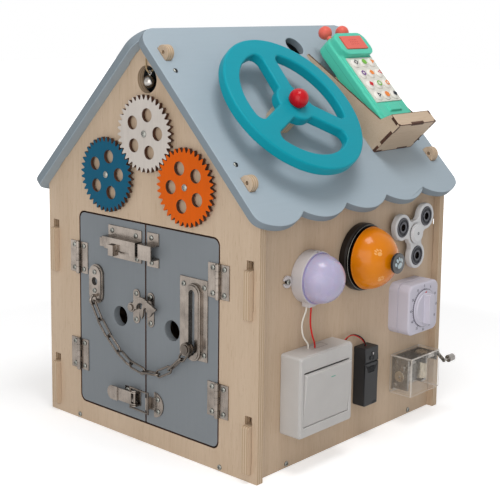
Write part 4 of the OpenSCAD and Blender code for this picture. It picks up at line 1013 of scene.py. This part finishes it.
switch = {
    "boxEdge": 0.7, "rockerEdge": 0.8, "top": 125.5,
    "glow": {"size": (7, 0.9, 0.3), "place": (-70, 97), "sunk": 0.15},
    # from and to out from the wall, then along it
    "knockout": [(13.6, 14, -88, -60), (4, 4.4, -83, -60), (4, 13.6, -60.4, -60)],
    "seam": (0.1, 0.03),  # how thick, and how far sunk in
}
batteryBox = {
    "edge": 0.9,
    # black bars: painted shade in the box's holes; the small white bar: a painted highlight in the switch
    # hole
    "holeShadeAndHighlight": [((17, 98, 15.9), (5.5, 5, 0.25), "black"), ((18.3, 98.4, 15.9), (1.6, 2.6, 0.5), "lampWhite"),
              ((22, 42.5, 15.9), (6.5, 2, 0.25), "black")],
}

softCopy("switch_box", switch["boxEdge"], "switchWhite", 3)
rocker = softCopy("switch_rocker", switch["rockerEdge"], "switchWhite", 3)
softCopy("battery_box", batteryBox["edge"], "darkGrey", 3)


def surfaceOff(piece, y, z):  # how far a piece stands off the wall there, in mm
    start = Vector((wallX + 100 * mm, y * mm, z * mm))
    hit = piece.ray_cast(start, Vector((-1, 0, 0)))[1]
    return (hit.x - wallX) / mm


dash = switch["glow"]
glowOff = surfaceOff(rocker, *dash["place"]) - dash["sunk"]
glow = bar("switch_glow_dash", dash["size"], (*dash["place"], glowOff), onWall, "glowGreen")
goesWith(glow, "switch_rocker")

onBoxTop = frameAt((1, 0, 0), (0, 1, 0), (0, 0, 1), (wallX, 0, switch["top"] * mm))
thick, sunk = switch["seam"]
lines = strips("knockout", switch["knockout"], thick, sunk, onBoxTop, "seam")
goesWith(join(lines, "switch_knockout"), "switch_box")

holeShadeAndHighlight = [bar("slot", size, place, onWall, finish) for place, size, finish in batteryBox["holeShadeAndHighlight"]]
goesWith(join(holeShadeAndHighlight, "battery_box_hole_shade_and_highlight"), "battery_box")
print("switch and battery box")


# desk bell

deskBell = {
    "baseEdge": 1.0, "buttonEdge": 0.3, "crownOff": 9.5,  # the base is black from there out
    "rim": (33.4, 0.9, 14.6, 0.7), "line": (35.6, 0.25, 11.0, 1),
}

bellStand = softCopy("bell_base", deskBell["baseEdge"], "bellBase", 3)
paintWith(bellStand, "bellBase", "black")
paintFaces(bellStand, 1, lambda c, n: c.x > wallX + deskBell["crownOff"] * mm)
softCopy("bell_dome", 0, "enamel")
softCopy("bell_button", deskBell["buttonEdge"], "button")
goesWith(ring("bell_dome_rim", bellPrints["centre"], deskBell["rim"], "enamel"), "bell_dome")
goesWith(ring("bell_base_line", bellPrints["centre"], deskBell["line"], "zinc"), "bell_base")
print("desk bell")


# spinner

spinner = {
    "centre": (99.5, 220.5), "arms": 3, "reach": 26.8, "phase": 39, "bodyEdge": 1.2, "hubEdge": 0.6,
    # radius and height of the bearing's outline, from the bore outwards
    "profile": [(4, 5.1), (4, 11.9), (4.4, 12.2), (6.2, 12.2), (6.4, 11.9), (6.5, 11.5), (8.9, 11.5),
                (9.0, 11.9), (9.2, 12.2), (10.6, 12.2), (11, 11.9), (11, 5.1), (10.6, 4.8), (9.2, 4.8),
                (9.0, 5.1), (8.9, 5.5), (6.5, 5.5), (6.4, 5.1), (6.2, 4.8), (4.4, 4.8), (4, 5.1)],
    "sealFrom": 6.45, "sealTo": 8.95,
    "mark": {"radius": 1.7, "off": 15.6, "open": 0.45},
}


def around(centre, radius, angle):
    return centre[0] + radius * math.cos(angle), centre[1] + radius * math.sin(angle)


def spun(name, profile, steps=64):
    deselect()
    mesh = bpy.data.meshes.new(name)
    points = [(r * mm, 0, z * mm) for r, z in profile]
    mesh.from_pydata(points, [(i, i + 1) for i in range(len(points) - 1)], [])
    piece = bpy.data.objects.new(name, mesh)
    bpy.context.scene.collection.objects.link(piece)
    edit(piece, "VERT")
    bpy.ops.mesh.spin(steps=steps, angle=2 * math.pi, center=(0, 0, 0), axis=(0, 0, 1))
    bpy.ops.mesh.select_all(action="SELECT")
    bpy.ops.mesh.remove_doubles(threshold=mergeGap)
    closeUp()
    return piece


softCopy("spinner_body", spinner["bodyEdge"], "white", 3)
softCopy("spinner_hub", spinner["hubEdge"], "white", 3)
firstBearing = spun("spinner_bearing", spinner["profile"])
paintWith(firstBearing, "bearingSteel", "sealAndRecessShade")
for face in firstBearing.data.polygons:
    away = math.hypot(face.center.x, face.center.y) / mm
    face.material_index = int(spinner["sealFrom"] < away < spinner["sealTo"])
smooth(firstBearing, 35)
bearings = []
for k in range(spinner["arms"]):
    angle = math.radians(spinner["phase"] + 360 / spinner["arms"] * k)
    copied = firstBearing.copy()
    copied.data = firstBearing.data.copy()
    bpy.context.scene.collection.objects.link(copied)
    settle(copied, spot(onWall, (*around(spinner["centre"], spinner["reach"], angle), 0)))
    bearings.append(copied)
bpy.data.objects.remove(firstBearing)
standsFor(join(bearings, "spinner_bearing_rings"), "spinner_bearings")
given = spinner["mark"]
place = (*spinner["centre"], given["off"])
hubMark = flatMark("spinner_hub_mark", 24, given["radius"], place, onWall, "ink", given["open"])
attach(hubMark, bodyOf["spinner_hub"])
print("spinner")


# kitchen timer

timer = {
    "centre": (96.5, 137), "faceOff": 28.0, "dialEdge": 0.7,
    "case": {"size": 58, "corner": 9, "cornerSteps": 10, "edge": 2.6, "edgeSteps": 5},
    # rise and scale of each level: the back half, the groove and the front half
    "levels": [(12, 1), (0.01, 0.976), (0.9, 1), (0.01, 1 / 0.976), (15.08, 1)],
    "minutes": 60, "tick": (0.4, 0.9, 0.15), "longTick": (0.7, 1.5, 0.15), "longEvery": 5,
    "tickRadius": 22.2, "tickSunk": 0.05, "numberRadius": 25.4, "numberSize": 4.0, "numberThick": 0.06,
    # the dial line is a dark ring of painted shadow at the dial's edge
    "pointer": {"radius": 3.4, "up": 16.6, "off": 30.05, "thick": 0.3}, "dialShadowLine": (21.2, 0.3, 28.05, 0.4),
}


def timerCase(name, given, finish):
    case = begin(name, bpy.ops.mesh.primitive_plane_add, size=1)
    bpy.ops.transform.resize(value=(given["size"] * mm, given["size"] * mm, 1))
    bpy.ops.mesh.bevel(offset=given["corner"] * mm, segments=given["cornerSteps"], affect="VERTICES")
    bpy.ops.mesh.select_all(action="SELECT")
    for rise, scale in timer["levels"]:
        pullOut(rise)
        bpy.ops.transform.resize(value=(scale, scale, 1))
    closeUp()
    top = max(vertex.co.z for vertex in case.data.vertices)
    soften(case, given["edge"] * mm, given["edgeSteps"], left=lambda middle: middle.z < top - 0.01 * mm)
    settle(case, spot(onWall, (*timer["centre"], 0)))
    paintWith(case, finish)
    return case


def minuteTurn(minute):
    return -math.radians(360 / timer["minutes"] * minute)


def onDial(radius, minute, off):  # clockwise from the top
    return (*around(timer["centre"], radius, math.pi / 2 + minuteTurn(minute)), off)


def dialNumber(minute, finish):
    deselect()
    bpy.ops.object.text_add()
    number = bpy.context.object
    number.data.body = str(minute)
    number.data.size = timer["numberSize"] * mm
    number.data.extrude = timer["numberThick"] * mm
    number.data.align_x = "CENTER"
    number.data.align_y = "CENTER"
    number.data.resolution_u = 3
    bpy.ops.object.convert(target="MESH")
    number = bpy.context.object
    settle(number, spot(onWall, onDial(timer["numberRadius"], minute, timer["faceOff"])))
    paintWith(number, finish)
    return number


standsFor(timerCase("timer_case_shell", timer["case"], "timerWhite"), "timer_case")
softCopy("timer_knob", timer["dialEdge"], "timerWhite", 3)
dialMarksAndShadow = []
for minute in range(timer["minutes"]):
    place = onDial(timer["tickRadius"], minute, timer["faceOff"] - timer["tickSunk"])
    size = timer["tick"] if minute % timer["longEvery"] else timer["longTick"]
    dialMarksAndShadow.append(bar("timer_tick", size, place, onWall, "ink", minuteTurn(minute)))
for minute in range(0, timer["minutes"], timer["longEvery"]):
    dialMarksAndShadow.append(dialNumber(minute, "ink"))
# a dark ring at the dial's edge: painted shadow
dialMarksAndShadow.append(ring("timer_dial_shadow_line", timer["centre"], timer["dialShadowLine"], "ink"))
dial = join(dialMarksAndShadow, "timer_dial_marks_and_shadow")
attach(dial, bodyOf["timer_case"])
given = timer["pointer"]
place = (timer["centre"][0], timer["centre"][1] + given["up"], given["off"])
pointer = flatMark("timer_pointer", 3, given["radius"], place, onWall, "markRed",
                   depth=given["thick"], turn=math.pi / 2)
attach(pointer, bodyOf["timer_knob"])
print("timer")


# music box

musicBox = {
    "coverEdge": 1.4, "movementEdge": 0.3, "crankEdge": 0.15,
    # turned parts of the movement: place on the wall, radius and height, turn about the upright
    "details": [
        ("music_governor_wheel", (78, 56, 11), (6.2, 0.9), -90, "drumBrass"),
        ("music_governor_pinion", (78, 66.5, 15), (2.9, 1.4), -90, "brightNickel"),
        ("music_governor_hub", (77.1, 56, 11), (1.7, 0.6), -90, "brightNickel"),
        ("music_plate_screw_low", (78, 45.5, 5.5), (1.9, 0.8), -90, "brightNickel"),
        ("music_plate_screw_high", (78, 73, 6), (1.9, 0.8), -90, "brightNickel"),
        ("music_comb_screw_low", (92.5, 50, 14.6), (2.3, 0.9), 0, "brightNickel"),
        ("music_comb_screw_mid", (92.5, 56.5, 14.6), (2.3, 0.9), 0, "brightNickel"),
        ("music_comb_screw_high", (92.5, 63, 14.6), (2.3, 0.9), 0, "brightNickel"),
    ],
    "chamfer": 0.2,
    "drum": {"centre": (119, 13), "radius": 6.5, "low": 48, "high": 65, "rows": 9, "round": 16},
    "pin": {"radius": 0.28, "depth": 0.3, "missing": 0.45, "stray": 0.5},
}

softCopy("music_cover", musicBox["coverEdge"], "clear", 4)
softCopy("music_movement", musicBox["movementEdge"], "movementSteel")
softCopy("music_cylinder", 0, "drumBrass")
softCopy("music_crank", musicBox["crankEdge"], "brightNickel")
cut = musicBox["chamfer"]
for name, place, (radius, height), turn, finish in musicBox["details"]:
    profile = [(0, 0), (radius, 0), (radius, height - cut), (radius - cut, height), (0, height)]
    detail = spun(name, profile, 32)
    settle(detail, spot(onWall, place) @ Matrix.Rotation(math.radians(turn), 4, "Y"))
    smooth(detail, 35)
    paintWith(detail, finish)
    goesWith(detail, "music_movement")
drum, pin = musicBox["drum"], musicBox["pin"]
shuffle = random.Random(7)
pins = []
for row in range(drum["rows"]):
    height = drum["low"] + (drum["high"] - drum["low"]) * (row + 0.5) / drum["rows"]
    for k in range(drum["round"]):
        if shuffle.random() < pin["missing"]:
            continue
        angle = 2 * math.pi * (k + shuffle.random() * pin["stray"]) / drum["round"]
        y, off = around(drum["centre"], drum["radius"], angle)
        place = (y, height, off)
        pins.append(flatMark("drum_pin", 6, pin["radius"], place, onWall, "drumBrass", depth=pin["depth"]))
goesWith(join(pins, "music_drum_pins"), "music_cylinder")
print("music box")


# studio

studio = {
    "key": {"place": (0.4, -0.2, 1.45), "size": 0.5, "power": 7},
    "fill": {"place": (1.05, -1.85, 0.75), "size": 1.8, "power": 20.5},
    "aim": (0, 0, 0.22),
    "ambient": 0.4,  # the world's light on the object; it is white where seen directly
    "floorSize": 12, "floorShade": 0.85, "floorGlow": 0.42,
    "shadowReach": 0.55, "shadowFade": 0.5,  # the floor glows more from there on, fully white after the fade
}


def areaLamp(name, given):
    bpy.ops.object.light_add(type="AREA", location=given["place"])
    lampObject = bpy.context.object
    lampObject.name = name
    lampObject.data.size = given["size"]
    lampObject.data.energy = given["power"]
    toward = Vector(studio["aim"]) - Vector(given["place"])
    lampObject.rotation_euler = toward.to_track_quat("-Z", "Y").to_euler()


def seenDirectly(shading):
    path = shading.add("ShaderNodeLightPath").socket.node
    kinds = ("Is Camera Ray", "Is Glossy Ray", "Is Transmission Ray")
    direct, glossy, through = [Val(shading, path.outputs[kind]) for kind in kinds]
    return shading.limit(direct + glossy + through)


def setWorld():
    world = bpy.data.worlds.new("studio")
    world.use_nodes = True
    bpy.context.scene.world = world
    shading = Shading(world.node_tree)
    background = world.node_tree.nodes["Background"]
    background.inputs["Color"].default_value = (1, 1, 1, 1)
    strength = seenDirectly(shading) * (1 - studio["ambient"]) + studio["ambient"]
    shading.feed(background.inputs["Strength"], strength)


def setFloor():
    deselect()
    bpy.ops.mesh.primitive_plane_add(size=studio["floorSize"])
    floor = bpy.context.object
    floor.name = "studio_floor"
    paper = Finish("floor paper", Roughness=0.9, Emission_Strength=1.0)
    x, y = paper.parts(paper.point())[:2]
    away = paper.maths("SQRT", x * x + y * y)
    share = paper.limit((away - studio["shadowReach"]) / studio["shadowFade"])
    glow = seenDirectly(paper) * (studio["floorGlow"] + share * (1 - studio["floorGlow"]))
    shade = studio["floorShade"]
    warm, cool = (shade, shade, shade, 1), (shade * 0.99, shade * 0.99, shade, 1)
    paper.colour(paper.blend(paper.noise(3), warm, cool))
    paper.feed(paper.shader.inputs["Emission Color"], paper.blend(glow, (0, 0, 0, 1), (1, 1, 1, 1)))
    floor.data.materials.append(paper.material)
    floor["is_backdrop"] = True


areaLamp("key lamp", studio["key"])
areaLamp("fill lamp", studio["fill"])
setWorld()
setFloor()
bpy.context.scene.view_settings.view_transform = "Standard"
print("studio set")

low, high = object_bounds()
